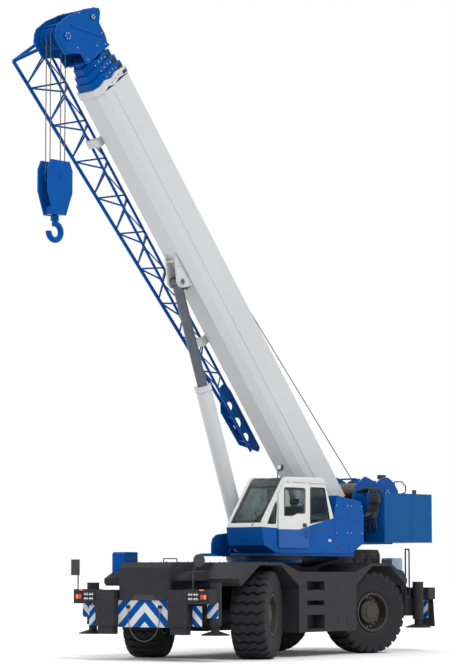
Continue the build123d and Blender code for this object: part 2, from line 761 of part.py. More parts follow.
def make_winch_frame():
    """Hump-shaped plates above the cheek plates, which carry the two winches."""
    top = winch_height
    main, aux = (x for _, x in winches)
    plate = slab_y([cheek_top, (main + 440, top - 72), (main + 220, top + 228),
                    (main + 20, top + 348), (main - 180, top + 288), (main - 380, top + 208),
                    (aux + 160, top + 328), (aux - 60, top + 348), (aux - 260, top + 248),
                    (tail_face, top + 48), (tail_face, counterweight_top),
                    (-3350, counterweight_top), cheek_tail],
                   (cheek_inner, cheek_inner + cheek_thickness))
    frame = joined([*both_sides(plate),
                    block((-3340, -3270), (-cheek_inner - 1, cheek_inner + 1),
                          (cheek_tail[1] + 200, cheek_tail[1] + 325)),
                    block((tail_face, tail_face + 60), (-cheek_inner - 1, cheek_inner + 1),
                          (counterweight_top + 20, counterweight_top + 70))])
    for _, x in winches:
        frame -= round_y(x, winch_height, 45 + pin_clearance, (-900, 900))
    return frame


def make_drum():
    """A winch drum with two flanges and its shaft."""
    wide = cheek_inner
    drum = round_y(0, 0, winch_drum_radius, (-wide + 5, wide - 5))
    flanges = [round_y(0, 0, winch_flange_radius, (side * (wide - 30), side * (wide - 5)))
               for side in (1, -1)]
    shaft = round_y(0, 0, 45, (-wide - cheek_thickness - 10, wide + cheek_thickness + 10))
    return joined([drum, *flanges, shaft])


keep("turntable", make_turntable(), upper)
keep("boom_cheeks", make_cheeks(), upper)
keep("cab_shell", make_cab_shell(), upper)
keep("cab_glass", make_cab_glass(), upper)
keep("cab_seat", make_seat(), upper)
keep("side_body", make_side_body(), upper)
keep("cab_door", make_door_panel(), upper)
keep("counterweight", make_counterweight(), upper)
keep("winch_frame", make_winch_frame(), upper)
for name, x in winches:
    keep(f"winch_{name}", make_drum(), upper * Pos(x, 0, winch_height))


# ---------------------------------------------------------------- boom
def section_points(step, grow=0.0):
    """A section's outline in Y and Z: square above, faceted below. Each step is one size down."""
    inset = step * section_step - grow
    half, top, low = boom_half_width - inset, boom_top - inset, boom_bottom + inset
    left = [(half, top), (half, boom_seam), (half - 50, low + 190), (half - 165, low)]
    return left + [(-y, z) for y, z in reversed(left)]


def section_tube(step, start, end):
    """A hollow boom section between two places along the boom."""
    solid = slab_x(section_points(step), (start, end))
    return solid - slab_x(section_points(step, -boom_wall), (start - 1, end + 1))


collar_path = (
    # height above the boom's line, how far the collar's edge lies ahead of the section's end
    (-640.0, 0.0),
    (-380.0, 0.0),
    (-230.0, 60.0),
    (-60.0, 5.0),
    (120.0, 60.0),
    (520.0, 5.0),
)


def section_collar(step, start):
    """The thick ring on a section's front end that guides the next section."""
    reach = max(shift for _, shift in collar_path) + collar_length
    ring = slab_x(section_points(step, collar_rim), (start - 100, start + reach + 10))
    ring -= slab_x(section_points(step + 1, pad_clearance), (start - 101, start + reach + 11))
    back = [(start + shift, z) for z, shift in collar_path]
    front = [(start + shift + collar_length, z) for z, shift in reversed(collar_path)]
    return ring & slab_y(back + front, (-cheek_inner, cheek_inner))


def front_end_of(step):
    """Where a section's collar starts with the boom closed."""
    return base_end + step * (collar_length + section_gap)


def make_base():
    """The base section with its foot bosses and the lift cylinder's brackets."""
    parts = [section_tube(0, base_start + 400, base_end + 2), section_collar(0, front_end_of(0))]
    foot = slab_y([(base_start + 500, boom_top), (base_start + 120, 200), (-150, 100), (-150, -150),
                   (100, -300), (base_start + 500, boom_bottom)],
                  (boom_half_width - 60, boom_half_width))
    parts += both_sides(foot)
    for side in (1, -1):
        parts.append(round_y(0, 0, 170, (side * (boom_half_width - 60), side * (cheek_inner - 1))))
        lug = slab_y([(lift_eye[0] - 250, boom_bottom + 5), (lift_eye[0] - 110, lift_eye[1] - 60),
                      (lift_eye[0] - 50, lift_eye[1] - 115), (lift_eye[0] + 60, lift_eye[1] - 115),
                      (lift_eye[0] + 170, lift_eye[1] - 50), (lift_eye[0] + 620, boom_bottom + 5)],
                     (side * (lift_eye_half + side_clearance),
                      side * (lift_eye_half + side_clearance + 45)))
        parts.append(lug)
    parts.append(round_y(0, 0, foot_pin_radius, (-cheek_inner - cheek_thickness - 20,
                                                 cheek_inner + cheek_thickness + 20)))
    base = joined(parts)
    return base - round_y(lift_eye[0], lift_eye[1], pin_radius + pin_clearance, (-300, 300))


def make_section(step):
    """A middle section with its guiding collar."""
    start = section_start + step * 60
    return joined([section_tube(step, start, front_end_of(step) + 2),
                   section_collar(step, front_end_of(step))])


head_front = front_end_of(section_count - 1)
head_pin = (head_front + head_reach, head_drop)
idler_pin = (head_front + head_reach - 40, idler_rise)
head_outline = (
    # ahead of the last collar, above the boom's line
    (75, 330), (330, 400), (600, 395), (740, 560), (830, 580), (900, 480), (1020, 200),
    (1130, -300), (1130, -640), (960, -860), (560, -860), (430, -600), (330, -440), (75, -430),
)


def make_head():
    """The last section with the head: side plates, cross plates, guard bars and pin bores."""
    step = section_count - 1
    start = section_start + step * 60
    tube = section_tube(step, start, head_front + 140)
    outline = [(head_front + s, z) for s, z in head_outline]
    plate = soft_slab_y(outline, (head_half_width - 30, head_half_width), 45)
    plate += round_y(*head_pin, head_lobe_radius, (head_half_width - 30, head_half_width))
    rib = bar((head_front + 330, head_half_width, 280), (head_front + 930, head_half_width, -330), 26)
    boss = round_y(*head_pin, 95, (head_half_width - 1, head_half_width + 12))
    wide = (-head_half_width, head_half_width)
    cross = [slab_x(section_points(step, 98), (head_front + 75, head_front + 120)) -
             block((head_front + 74, head_front + 121), wide, (boom_bottom - 100, boom_bottom + 105)),
             block((head_front + 330, head_front + 370), wide, (-280, 380)),
             block((head_front + 640, head_front + 680), wide, (430, 470)),
             block((head_front + 880, head_front + 1060), wide, (40, 65))]
    guards = [round_y(head_pin[0] + guard_reach * math.cos(math.radians(turn)),
                      head_pin[1] + guard_reach * math.sin(math.radians(turn)), 16, wide)
              for turn in (25, 60)]
    head = joined([tube, *both_sides(joined([plate, rib, boss])), *cross, *guards])
    head -= slab_x(section_points(step, -boom_wall), (start - 1, head_front + 60))
    for (x, z), radius in ((head_pin, 50), (idler_pin, 40)):
        head -= round_y(x, z, radius + pin_clearance, (-600, 600))
    return head


head_lobe_radius = 310.0
guard_reach = head_sheave_radius + 36
head_sheaves = (-195.0, -65.0, 65.0, 195.0)
idler_sheaves = (-60.0, 60.0)


def make_head_sheaves():
    """Four grooved sheaves on the head pin, and two smaller ones on the pin above."""
    out = []
    for (x, z), radius, bore, places in ((head_pin, head_sheave_radius, 50, head_sheaves),
                                         (idler_pin, idler_radius, 40, idler_sheaves)):
        out.append(round_y(x, z, bore, (-head_half_width - 15, head_half_width + 15)))
        out += [Pos(x, y, z) * make_sheave(radius, 70, bore) for y in places]
    return Compound(children=[*joined(out[:5]).solids(), *joined(out[5:]).solids()])


def make_sheave(radius, width, bore):
    """A sheave about Y: rim with a rope groove."""
    half = width / 2
    groove = radius - 40
    return turned_y([(bore - 5, -half), (radius, -half), (radius, -half + 10), (groove, -8),
                     (groove, 8), (radius, half - 10), (radius, half), (bore - 5, half)])


def make_jib():
    """The stowed jib: a triangular truss with three chords and braces at every bay."""
    pitch = (jib_first - jib_last) / jib_bays
    out = [bar(start, end, radius) for start, end, radius in jib_chords.values()]
    for i in range(jib_bays + 1):
        s = jib_first - i * pitch
        out.append(brace(on_chord("near", s), on_chord("far", s), jib_rung_radius))
        if i == jib_bays:
            break
        middle = s - pitch / 2
        for side_chord in ("near", "far"):
            for shift in (-1, 1):
                foot = on_chord("apex", middle + shift * jib_node_shift)
                head = on_chord(side_chord, middle + shift * (pitch / 2 - jib_node_shift))
                out.append(brace(foot, head, jib_brace_radius))
        out.append(brace(on_chord("near", s - jib_node_shift),
                         on_chord("far", s - pitch + jib_node_shift), jib_rung_radius))
    ends = [jib_chords[name][0] for name in ("near", "far", "apex")]
    for start, end in zip(ends, ends[1:] + ends[:1]):
        out.append(bar(start, end, 36))
    for s, y, z in ends[:2]:
        fork = block((s - 30, s + 150), (y - 45, y + 45), (z - 55, z + 55))
        out.append(fork.fuse(round_y(s + 150, z, 62, (y - 45, y + 45))) - round_y(s + 150, z, 26, (y - 60, y + 60)))
    s, y, z = jib_chords["far"][1]
    tip = soft_slab_y([(s - 350, z - 60), (s - 300, z + 40), (s + 1250, z + 60), (s + 1500, z - 10),
                       (s + 1500, z - 180), (s + 1050, z - 500), (s + 150, z - 470)],
                      (y - 12, y + 8), 35)
    for shift, drop, radius in ((150, 200, 105), (560, 230, 130), (1000, 200, 105)):
        tip -= round_y(s + shift, z - drop, radius, (y - 50, y + 50))
    out.append(tip)
    for shift in (250, 900):
        near_s, near_y, near_z = on_chord("near", s + shift)
        out.append(brace((near_s, near_y, near_z), (near_s, y, z - 420), jib_brace_radius))
    return joined(out)


jib_bays = 9
jib_head = base_end + jib_overhang
jib_first = jib_head - 150
jib_last = jib_tail + 1700
jib_node_shift = 55.0            # braces meet a chord this far either side of its node
jib_rung_radius = 15.0
jib_brace_radius = 19.0
jib_chords = {
    # start and end as (along the boom, to its left, above its line), and radius
    "apex": ((jib_head, -1050.0, -940.0), (jib_tail, -800.0, -400.0), 38.0),
    "near": ((jib_head, -560.0, -560.0), (jib_tail, -560.0, -620.0), 30.0),
    "far": ((jib_head, -900.0, -80.0), (jib_tail, -860.0, -100.0), 30.0),
}


def on_chord(name, s):
    """A point of a jib chord at a place along the boom."""
    start, end, _ = jib_chords[name]
    t = (s - start[0]) / (end[0] - start[0])
    return tuple(a + t * (b - a) for a, b in zip(start, end))


def make_jib_brackets():
    """Blocks under the base section's right side, bored for the jib's near chord."""
    start, end, radius = jib_chords["near"]
    out = []
    for s in jib_seats:
        y, z = on_chord("near", s)[1:]
        arm = block((s - 90, s + 90), (y - 55, -boom_half_width + 120), (z - 50, z + 50))
        post = block((s - 90, s + 90), (-boom_half_width + 60, -boom_half_width + 120),
                     (z - 50, boom_bottom + 150))
        out.append(joined([arm, post]) - bar(start, end, radius + jib_seat_gap))
    return out


jib_seat_gap = 0.3
jib_seats = [jib_first - bay * (jib_first - jib_last) / jib_bays for bay in (2.3, 7.7)]
keep("jib_truss", make_jib(), boom)
keep("boom_base", joined([make_base(), *make_jib_brackets()]), boom)
for step in range(1, section_count - 1):
    keep(f"boom_section_{step + 1}", make_section(step), boom)
keep("boom_head", make_head(), boom)
keep("head_sheaves", make_head_sheaves(), boom)

# Lift cylinder, in the upper's own frame before slewing.
luff = math.radians(luff_rest)
eye_x = -foot_back + lift_eye[0] * math.cos(luff) - lift_eye[1] * math.sin(luff)
eye_z = foot_height + lift_eye[0] * math.sin(luff) + lift_eye[1] * math.cos(luff)
lift_angle = math.degrees(math.atan2(eye_z - lift_foot[1], eye_x - lift_foot[0]))
lift_length = math.hypot(eye_z - lift_foot[1], eye_x - lift_foot[0])
lift = upper * Pos(lift_foot[0], 0, lift_foot[1]) * Rot(0, -lift_angle, 0)


rod_inner_end = 2330.0           # leaves room below the piston for the boom to come down


def make_lift_barrel():
    """Barrel with its foot eye and pin; the rod runs in through the gland."""
    tube = round_x(0, 0, lift_barrel_radius, (110, lift_barrel_length))
    eye = round_y(0, 0, lift_foot_radius, (-lift_barrel_radius, lift_barrel_radius))
    neck = block((0, 140), (-lift_barrel_radius + 40, lift_barrel_radius - 40),
                 (-lift_foot_radius + 8, lift_foot_radius - 8))
    gland = round_x(0, 0, lift_barrel_radius + 14, (lift_barrel_length - 120, lift_barrel_length))
    barrel = joined([tube, eye, neck, gland])
    return barrel - round_x(0, 0, lift_rod_radius + pin_clearance, (200, lift_barrel_length + 1))


def make_lift_rod():
    """Rod with the eye and pin that meet the boom's brackets."""
    rod = round_x(0, 0, lift_rod_radius, (rod_inner_end, lift_length - 60))
    eye = round_y(lift_length, 0, 108, (-lift_eye_half, lift_eye_half))
    pin = round_y(lift_length, 0, pin_radius, (-lift_eye_half - 70, lift_eye_half + 70))
    return joined([rod, eye, pin])


keep("lift_barrel", make_lift_barrel(), lift)
keep("lift_rod", make_lift_rod(), lift)


# ---------------------------------------------------------------- hook
pin_point = (boom * Pos(head_pin[0], 0, head_pin[1])).position
hang = Pos(pin_point.X, pin_point.Y, pin_point.Z) * Rot(0, 0, slew_rest)
fall_x = head_sheave_radius - 40 + rope_radius + fall_gap
fall_places = ((fall_x, -65.0), (fall_x, 65.0), (-fall_x, -65.0), (-fall_x, 65.0))
block_pin_z = -fall_length - 120


def make_falls():
    """The rope falls from the head sheaves to the block's."""
    return Compound(children=[bar((x, y, 0), (x, y, block_pin_z), rope_radius)
                              for x, y in fall_places])


def make_hook_block():
    """Cheek plates about the block's sheaves, narrowing down to the swivel crosshead."""
    plates = []
    outline = [(-330, block_pin_z + 120), (-250, block_pin_z + 300), (250, block_pin_z + 300),
               (330, block_pin_z + 120), (330, block_pin_z - 330), (160, block_pin_z - 800),
               (-160, block_pin_z - 800), (-330, block_pin_z - 330)]
    for side in (1, -1):
        plates.append(slab_y(outline, (side * 125, side * 165)))
    sheaves = [Pos(0, y, block_pin_z) * make_sheave(head_sheave_radius, 70, 45) for y in (-65, 65)]
    pin = round_y(0, block_pin_z, 45, (-175, 175))
    crosshead = block((-150, 150), (-126, 126), (block_pin_z - 790, block_pin_z - 620))
    out = joined([*plates, *sheaves, pin, crosshead])
    return out - round_z(0, 0, 55 + pin_clearance, (block_pin_z - 900, block_pin_z - 600))


def make_hook():
    """A forged single hook on its swivel shank."""
    top = block_pin_z - 800
    shank = round_z(0, 0, 55, (top - 60, top + 175))
    nut = round_z(0, 0, 85, (top - 110, top - 6))
    ring = Pos(0, 0, top - 330) * Rot(90, 0, 0) * Torus(165, 62)
    ring -= block((30, 300), (-100, 100), (top - 330, top - 60))
    neck = bar((0, 0, top - 100), (-20, 0, top - 190), 60)
    return joined([shank, nut, neck, ring])


keep("hook_falls", make_falls(), hang)
keep("hook_block", make_hook_block(), hang)
keep("hook", make_hook(), hang)
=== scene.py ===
"""Rough-terrain crane: paint, tyres, glass, lamps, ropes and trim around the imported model.

Run as a script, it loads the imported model, dresses it piece by piece and sets the stage. All
lengths are in metres, in the model's own frame: +X is the carrier's front, +Y its left, +Z up.
"""

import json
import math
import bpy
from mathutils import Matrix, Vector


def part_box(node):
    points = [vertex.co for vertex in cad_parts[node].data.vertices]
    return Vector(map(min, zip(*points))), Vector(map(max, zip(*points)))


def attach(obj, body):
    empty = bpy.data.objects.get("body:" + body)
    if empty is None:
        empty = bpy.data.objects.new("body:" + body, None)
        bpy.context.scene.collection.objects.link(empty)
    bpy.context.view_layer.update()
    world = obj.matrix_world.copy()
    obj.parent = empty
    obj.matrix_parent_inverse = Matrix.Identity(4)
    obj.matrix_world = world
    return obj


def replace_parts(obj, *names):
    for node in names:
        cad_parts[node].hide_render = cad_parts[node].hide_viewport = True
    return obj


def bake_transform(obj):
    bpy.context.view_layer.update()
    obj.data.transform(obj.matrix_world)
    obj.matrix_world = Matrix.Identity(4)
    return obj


bl_info = {
    "name": "Rough-terrain crane",
    "version": (1, 0, 0),
    "blender": (4, 5, 0),
    "location": "View3D > Sidebar > Crane",
    "description": "Dresses the packed crane with paint, tyres, glass, lamps, ropes and trim",
    "category": "Object",
}

import bmesh
import bpy
from bpy.props import FloatProperty, IntProperty, PointerProperty, StringProperty
from mathutils import Matrix, Vector

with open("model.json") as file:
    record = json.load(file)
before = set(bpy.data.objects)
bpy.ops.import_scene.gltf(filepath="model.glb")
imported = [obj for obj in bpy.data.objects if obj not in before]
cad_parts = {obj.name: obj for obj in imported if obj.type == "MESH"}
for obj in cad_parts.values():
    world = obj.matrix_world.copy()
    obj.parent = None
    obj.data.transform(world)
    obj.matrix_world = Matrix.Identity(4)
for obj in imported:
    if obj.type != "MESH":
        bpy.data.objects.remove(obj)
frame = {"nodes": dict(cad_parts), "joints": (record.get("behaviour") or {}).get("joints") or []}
nodes = frame["nodes"]
joints = {joint["name"]: joint for joint in frame["joints"]}
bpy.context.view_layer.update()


# ------------------------------------------------------------------ places on the machine
def place_of(origin, x_axis, y_axis):
    """The matrix that takes a body's own metres to the model's frame."""
    x, y = Vector(x_axis).normalized(), Vector(y_axis).normalized()
    columns = Matrix((x, y, x.cross(y))).transposed().to_4x4()
    return Matrix.Translation(Vector(origin)) @ columns


UP = Vector((0.0, 0.0, 1.0))
left = -Vector(joints["luff"]["axis"])
forward = left.cross(UP)
slew = Vector(joints["slew"]["pos_m"])
GROUND = Matrix.Identity(4)
# Upper works: X forward of the slew axis, Y to the left, Z above the ground.
UPPER = place_of((slew.x, slew.y, 0.0), forward, left)
# Boom: X along it from the foot pin, Y to the left, Z towards its back.
BOOM = place_of(joints["luff"]["pos_m"], joints["telescope_2"]["axis"], left)
# Rope falls: X forward and Z up from the head pin.
FALLS = place_of(joints["fall_swing"]["pos_m"], forward, left)

# Where the cab's shell meets its tub, at the door's front and rear: forward of the slew axis, and
# height.
WAIST = ((0.58, 2.67), (-0.58, 2.93))

WHEELS = tuple(f"{end}_{hand}" for end in ("front", "rear") for hand in ("left", "right"))


def wheel_place(wheel):
    """A wheel's own frame: Y points outboard along its axle."""
    roll = joints[f"roll_{wheel}"]
    outboard = Vector(roll["axis"]) * (1 if wheel.endswith("left") else -1)
    return place_of(roll["pos_m"], outboard.cross(UP), outboard)


# ------------------------------------------------------------------ mesh helpers
class Form:
    """A mesh under construction, in its own metres."""

    def __init__(self):
        self.mesh = bmesh.new()

    def box(self, x_range, y_range, z_range, bevel=0.0):
        """A block with its edges rounded by bevel."""
        ranges = [sorted(r) for r in (x_range, y_range, z_range)]
        size = [high - low for low, high in ranges]
        middle = [(high + low) / 2 for low, high in ranges]
        matrix = Matrix.Translation(middle) @ Matrix.Diagonal((*size, 1.0))
        made = bmesh.ops.create_cube(self.mesh, size=1.0, matrix=matrix)["verts"]
        self.round_edges(made, min(bevel, 0.45 * min(size)))
        return self

    def round_edges(self, verts, width):
        """Rounds every edge between the given corners."""
        if width > 0:
            edges = list(dict.fromkeys(edge for vert in verts for edge in vert.link_edges))
            bmesh.ops.bevel(self.mesh, geom=edges, offset=width, segments=2, profile=0.6,
                            affect="EDGES", clamp_overlap=True)

    def slab(self, outline, low, high, axis="Y", bevel=0.0):
        """An outline drawn across an axis, thick along it from low to high."""
        order = {"X": (2, 0, 1), "Y": (0, 2, 1), "Z": (0, 1, 2)}[axis]

        def corner(point, depth):
            values = (point[0], point[1], depth)
            return [values[i] for i in order]

        near = [self.mesh.verts.new(corner(point, low)) for point in outline]
        far = [self.mesh.verts.new(corner(point, high)) for point in outline]
        self.mesh.faces.new(near)
        self.mesh.faces.new(list(reversed(far)))
        for i in range(len(outline)):
            j = (i + 1) % len(outline)
            self.mesh.faces.new((near[j], near[i], far[i], far[j]))
        self.round_edges(near + far, bevel)
        return self

    def tube(self, points, radius, sides=10, closed=False):
        """A round bar along straight runs, mitred at the corners."""
        line = [Vector(point) for point in points]
        rings, lean = [], None
        for i, here in enumerate(line):
            before = line[i - 1] if i or closed else here
            after = line[(i + 1) % len(line)] if i + 1 < len(line) or closed else here
            into = (here - before).normalized() if here != before else (after - here).normalized()
            out = (after - here).normalized() if here != after else into
            along = (into + out).normalized()
            if lean is None:
                lean = along.orthogonal().normalized()
            lean = (lean - along * lean.dot(along)).normalized()
            across = along.cross(lean)
            wide = 1 / max(0.5, along.dot(out))
            bend = (out - into)
            bend = bend.normalized() if bend.length > 1e-6 else across
            ring = []
            for k in range(sides):
                turn = 2 * math.pi * k / sides
                spoke = lean * math.cos(turn) + across * math.sin(turn)
                spoke += bend * spoke.dot(bend) * (wide - 1)
                ring.append(self.mesh.verts.new(here + spoke * radius))
            rings.append(ring)
        pairs = list(zip(rings, rings[1:] + ([rings[0]] if closed else [])))
        for low, high in pairs[:len(rings) if closed else len(rings) - 1]:
            for k in range(sides):
                m = (k + 1) % sides
                self.mesh.faces.new((low[k], low[m], high[m], high[k]))
        if not closed:
            self.mesh.faces.new(list(reversed(rings[0])))
            self.mesh.faces.new(rings[-1])
        return self

    def turned(self, profile, place=GROUND, sides=48):
        """A shape turned about the place's Y axis from (radius, along Y) points."""
        rings = []
        for radius, along in profile:
            if radius < 1e-6:
                rings.append([self.mesh.verts.new(place @ Vector((0, along, 0)))])
                continue
            ring = []
            for k in range(sides):
                turn = 2 * math.pi * k / sides
                spot = Vector((radius * math.cos(turn), along, radius * math.sin(turn)))
                ring.append(self.mesh.verts.new(place @ spot))
            rings.append(ring)
        for low, high in zip(rings, rings[1:]):
            for k in range(sides):
                m = (k + 1) % sides
                corners = [low[k % len(low)], low[m % len(low)], high[m % len(high)],
                           high[k % len(high)]]
                face = list(dict.fromkeys(corners))
                if len(face) > 2:
                    self.mesh.faces.new(face)
        for ring, flip in ((rings[0], False), (rings[-1], True)):
            if len(ring) > 1 and profile[0] != profile[-1]:
                self.mesh.faces.new(list(reversed(ring)) if flip else ring)
        return self

    def piece(self, name, finish, body, place=GROUND, smooth=35.0):
        """The finished piece: in place, outward-facing, painted and riding on its body."""
        bmesh.ops.remove_doubles(self.mesh, verts=self.mesh.verts, dist=1e-5)
        bmesh.ops.transform(self.mesh, matrix=place, verts=self.mesh.verts)
        bmesh.ops.recalc_face_normals(self.mesh, faces=self.mesh.faces)
        data = bpy.data.meshes.new(name)
        self.mesh.to_mesh(data)
        self.mesh.free()
        return settle(name, data, finish, body, smooth)


def settle(name, data, finish, body, smooth=35.0):
    """Shades a finished mesh, paints it and rides it on its body, if one is named."""
    data.shade_smooth()
    data.set_sharp_from_angle(angle=math.radians(smooth))
    data.materials.clear()
    data.materials.append(finish)
    item = bpy.data.objects.new(name, data)
    bpy.context.scene.collection.objects.link(item)
    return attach(item, body) if body else item


def bent(points, radius, steps=5):
    """The points of a line whose corners are bent to a radius."""
    line = [Vector(point) for point in points]
    out = [line[0]]
    for before, corner, after in zip(line, line[1:], line[2:]):
        into, leave = (before - corner).normalized(), (after - corner).normalized()
        half = into.angle(leave) / 2
        back = min(radius / max(math.tan(half), 1e-3), 0.45 * (before - corner).length,
                   0.45 * (after - corner).length)
        start, end = corner + into * back, corner + leave * back
        for i in range(steps + 1):
            t = i / steps
            out.append(start * (1 - t) ** 2 + corner * 2 * t * (1 - t) + end * t ** 2)
    return out + [line[-1]]


# ------------------------------------------------------------------ node helper and finishes
def add(tree, kind, inputs=None, **settings):
    """A node with its settings, its inputs set to values or fed from other nodes' sockets."""
    node = tree.nodes.new(kind)
    for key, value in settings.items():
        setattr(node, key, value)
    for key, value in (inputs or {}).items():
        if isinstance(value, bpy.types.NodeSocket):
            tree.links.new(value, node.inputs[key])
        else:
            node.inputs[key].default_value = value
    return node


def linear(code):
    """A linear colour from a sRGB hex value."""
    parts = [int(code.lstrip("#")[i:i + 2], 16) / 255 for i in (0, 2, 4)]
    return (*[c / 12.92 if c <= 0.04045 else ((c + 0.055) / 1.055) ** 2.4 for c in parts], 1.0)


def surface(name, dark, light, patch, rough, rough_spread, grain, grain_depth, bevel=0.0, wear=None,
            **shader):
    """A material whose colour drifts between two tones and whose skin has a fine grain.

    patch is the size of the colour's patches and grain that of the skin's bumps, in metres.
    wear, if given, is the colour that shows along worn edges.
    """
    material = bpy.data.materials.new(name)
    material.use_nodes = True
    tree = material.node_tree
    tree.nodes.clear()
    spot = add(tree, "ShaderNodeTexCoord").outputs["Object"]
    clouds = add(tree, "ShaderNodeTexNoise", {"Vector": spot, "Scale": 1 / patch, "Detail": 6.0,
                                             "Roughness": 0.62})
    # Of a colour Mix node's sockets, 0 is the factor, 6 and 7 the two colours, and 2 the result.
    tone = add(tree, "ShaderNodeMix", {0: clouds.outputs["Fac"], 6: linear(dark),
                                       7: linear(light)}, data_type="RGBA")
    colour = tone.outputs[2]
    grit = add(tree, "ShaderNodeTexNoise", {"Vector": spot, "Scale": 1 / grain, "Detail": 3.0})
    sheen = add(tree, "ShaderNodeMapRange", {"Value": clouds.outputs["Fac"], "From Min": 0.3,
                                             "From Max": 0.7, "To Min": rough - rough_spread,
                                             "To Max": rough + rough_spread})
    if bevel:
        edge = add(tree, "ShaderNodeBevel", {"Radius": bevel}, samples=4)
        bump = add(tree, "ShaderNodeBump", {"Height": grit.outputs["Fac"], "Distance": grain_depth,
                                            "Normal": edge.outputs["Normal"]})
    else:
        bump = add(tree, "ShaderNodeBump", {"Height": grit.outputs["Fac"], "Distance": grain_depth})
    if wear:
        true_normal = add(tree, "ShaderNodeNewGeometry").outputs["Normal"]
        turn = add(tree, "ShaderNodeVectorMath", {0: edge.outputs["Normal"], 1: true_normal},
                   operation="DOT_PRODUCT")
        rub = add(tree, "ShaderNodeMapRange", {"Value": turn.outputs["Value"], "From Min": 0.97,
                                               "From Max": 0.86, "To Min": 0.0, "To Max": 0.55})
        broken = add(tree, "ShaderNodeMath", {0: rub.outputs[0], 1: grit.outputs["Fac"]},
                     operation="MULTIPLY")
        worn = add(tree, "ShaderNodeMix", {0: broken.outputs[0], 6: colour, 7: linear(wear)},
                   data_type="RGBA")
        colour = worn.outputs[2]
    skin = add(tree, "ShaderNodeBsdfPrincipled", {"Base Color": colour,
                                                  "Roughness": sheen.outputs[0],
                                                  "Normal": bump.outputs["Normal"], **shader})
    add(tree, "ShaderNodeOutputMaterial", {"Surface": skin.outputs["BSDF"]})
    return material


def two_tone(name, above, below):
    """A copy of the finish above, which turns to the colour below under the cab's waist line."""
    material = above.copy()
    material.name = name
    tree = material.node_tree
    skin = next(node for node in tree.nodes if node.type == "BSDF_PRINCIPLED")
    upper_colour = skin.inputs["Base Color"].links[0].from_socket
    spot = add(tree, "ShaderNodeTexCoord").outputs["Object"]
    ahead = add(tree, "ShaderNodeVectorMath", {0: spot, 1: tuple(forward)}, operation="DOT_PRODUCT")
    knee = forward.dot(slew) + WAIST[0][0]
    tail = forward.dot(slew) + WAIST[1][0]
    line = add(tree, "ShaderNodeMapRange", {"Value": ahead.outputs["Value"], "From Min": knee,
                                            "From Max": tail, "To Min": WAIST[0][1],
                                            "To Max": WAIST[1][1]})
    height = add(tree, "ShaderNodeSeparateXYZ", {"Vector": spot})
    over = add(tree, "ShaderNodeMath", {0: height.outputs["Z"], 1: line.outputs[0]},
               operation="GREATER_THAN")
    mixed = add(tree, "ShaderNodeMix", {0: over.outputs[0], 6: linear(below), 7: upper_colour},
                data_type="RGBA")
    tree.links.new(mixed.outputs[2], skin.inputs["Base Color"])
    return material


def clear_skin(name, tint, rough, **shader):
    """A clear material with a faint tint and a slight waviness."""
    material = bpy.data.materials.new(name)
    material.use_nodes = True
    tree = material.node_tree
    tree.nodes.clear()
    spot = add(tree, "ShaderNodeTexCoord").outputs["Object"]
    wave = add(tree, "ShaderNodeTexNoise", {"Vector": spot, "Scale": 3.0, "Detail": 1.0})
    bump = add(tree, "ShaderNodeBump", {"Height": wave.outputs["Fac"], "Distance": 0.0006})
    skin = add(tree, "ShaderNodeBsdfPrincipled", {"Roughness": rough, "Transmission Weight": 1.0,
                                                  "Base Color": linear(tint),
                                                  "Normal": bump.outputs["Normal"], **shader})
    add(tree, "ShaderNodeOutputMaterial", {"Surface": skin.outputs["BSDF"]})
    return material


# ------------------------------------------------------------------ what a user would change
class CraneColours(bpy.types.PropertyGroup):
    """The paints, as sRGB hex values."""

    upper_blue: StringProperty(name="Upper works", default="#004890",
                               description="Enamel on the cab's tub, boom head, jib and hook")
    tail_blue: StringProperty(name="Counterweight", default="#00477F",
                              description="Enamel on the counterweight")
    pale_grey: StringProperty(name="Boom and cab", default="#B9BABB",
                              description="Enamel on the boom's base, the cab and the lift barrel")
    cab_white: StringProperty(name="Cab", default="#C6C7C6",
                              description="Enamel on the cab's shell and door")
    charcoal: StringProperty(name="Carrier", default="#2C2B2E",
                             description="Chassis paint on the carrier")
    stripe_blue: StringProperty(name="Stripes", default="#07478F",
                                description="The dark stripes of the warning boards")
    tank_blue: StringProperty(name="Tank", default="#7F95AF",
                              description="Enamel on the small tank on the rear deck")
    amber: StringProperty(name="Turn lamps", default="#FF7A1A",
                          description="Lenses of the turn lamps")


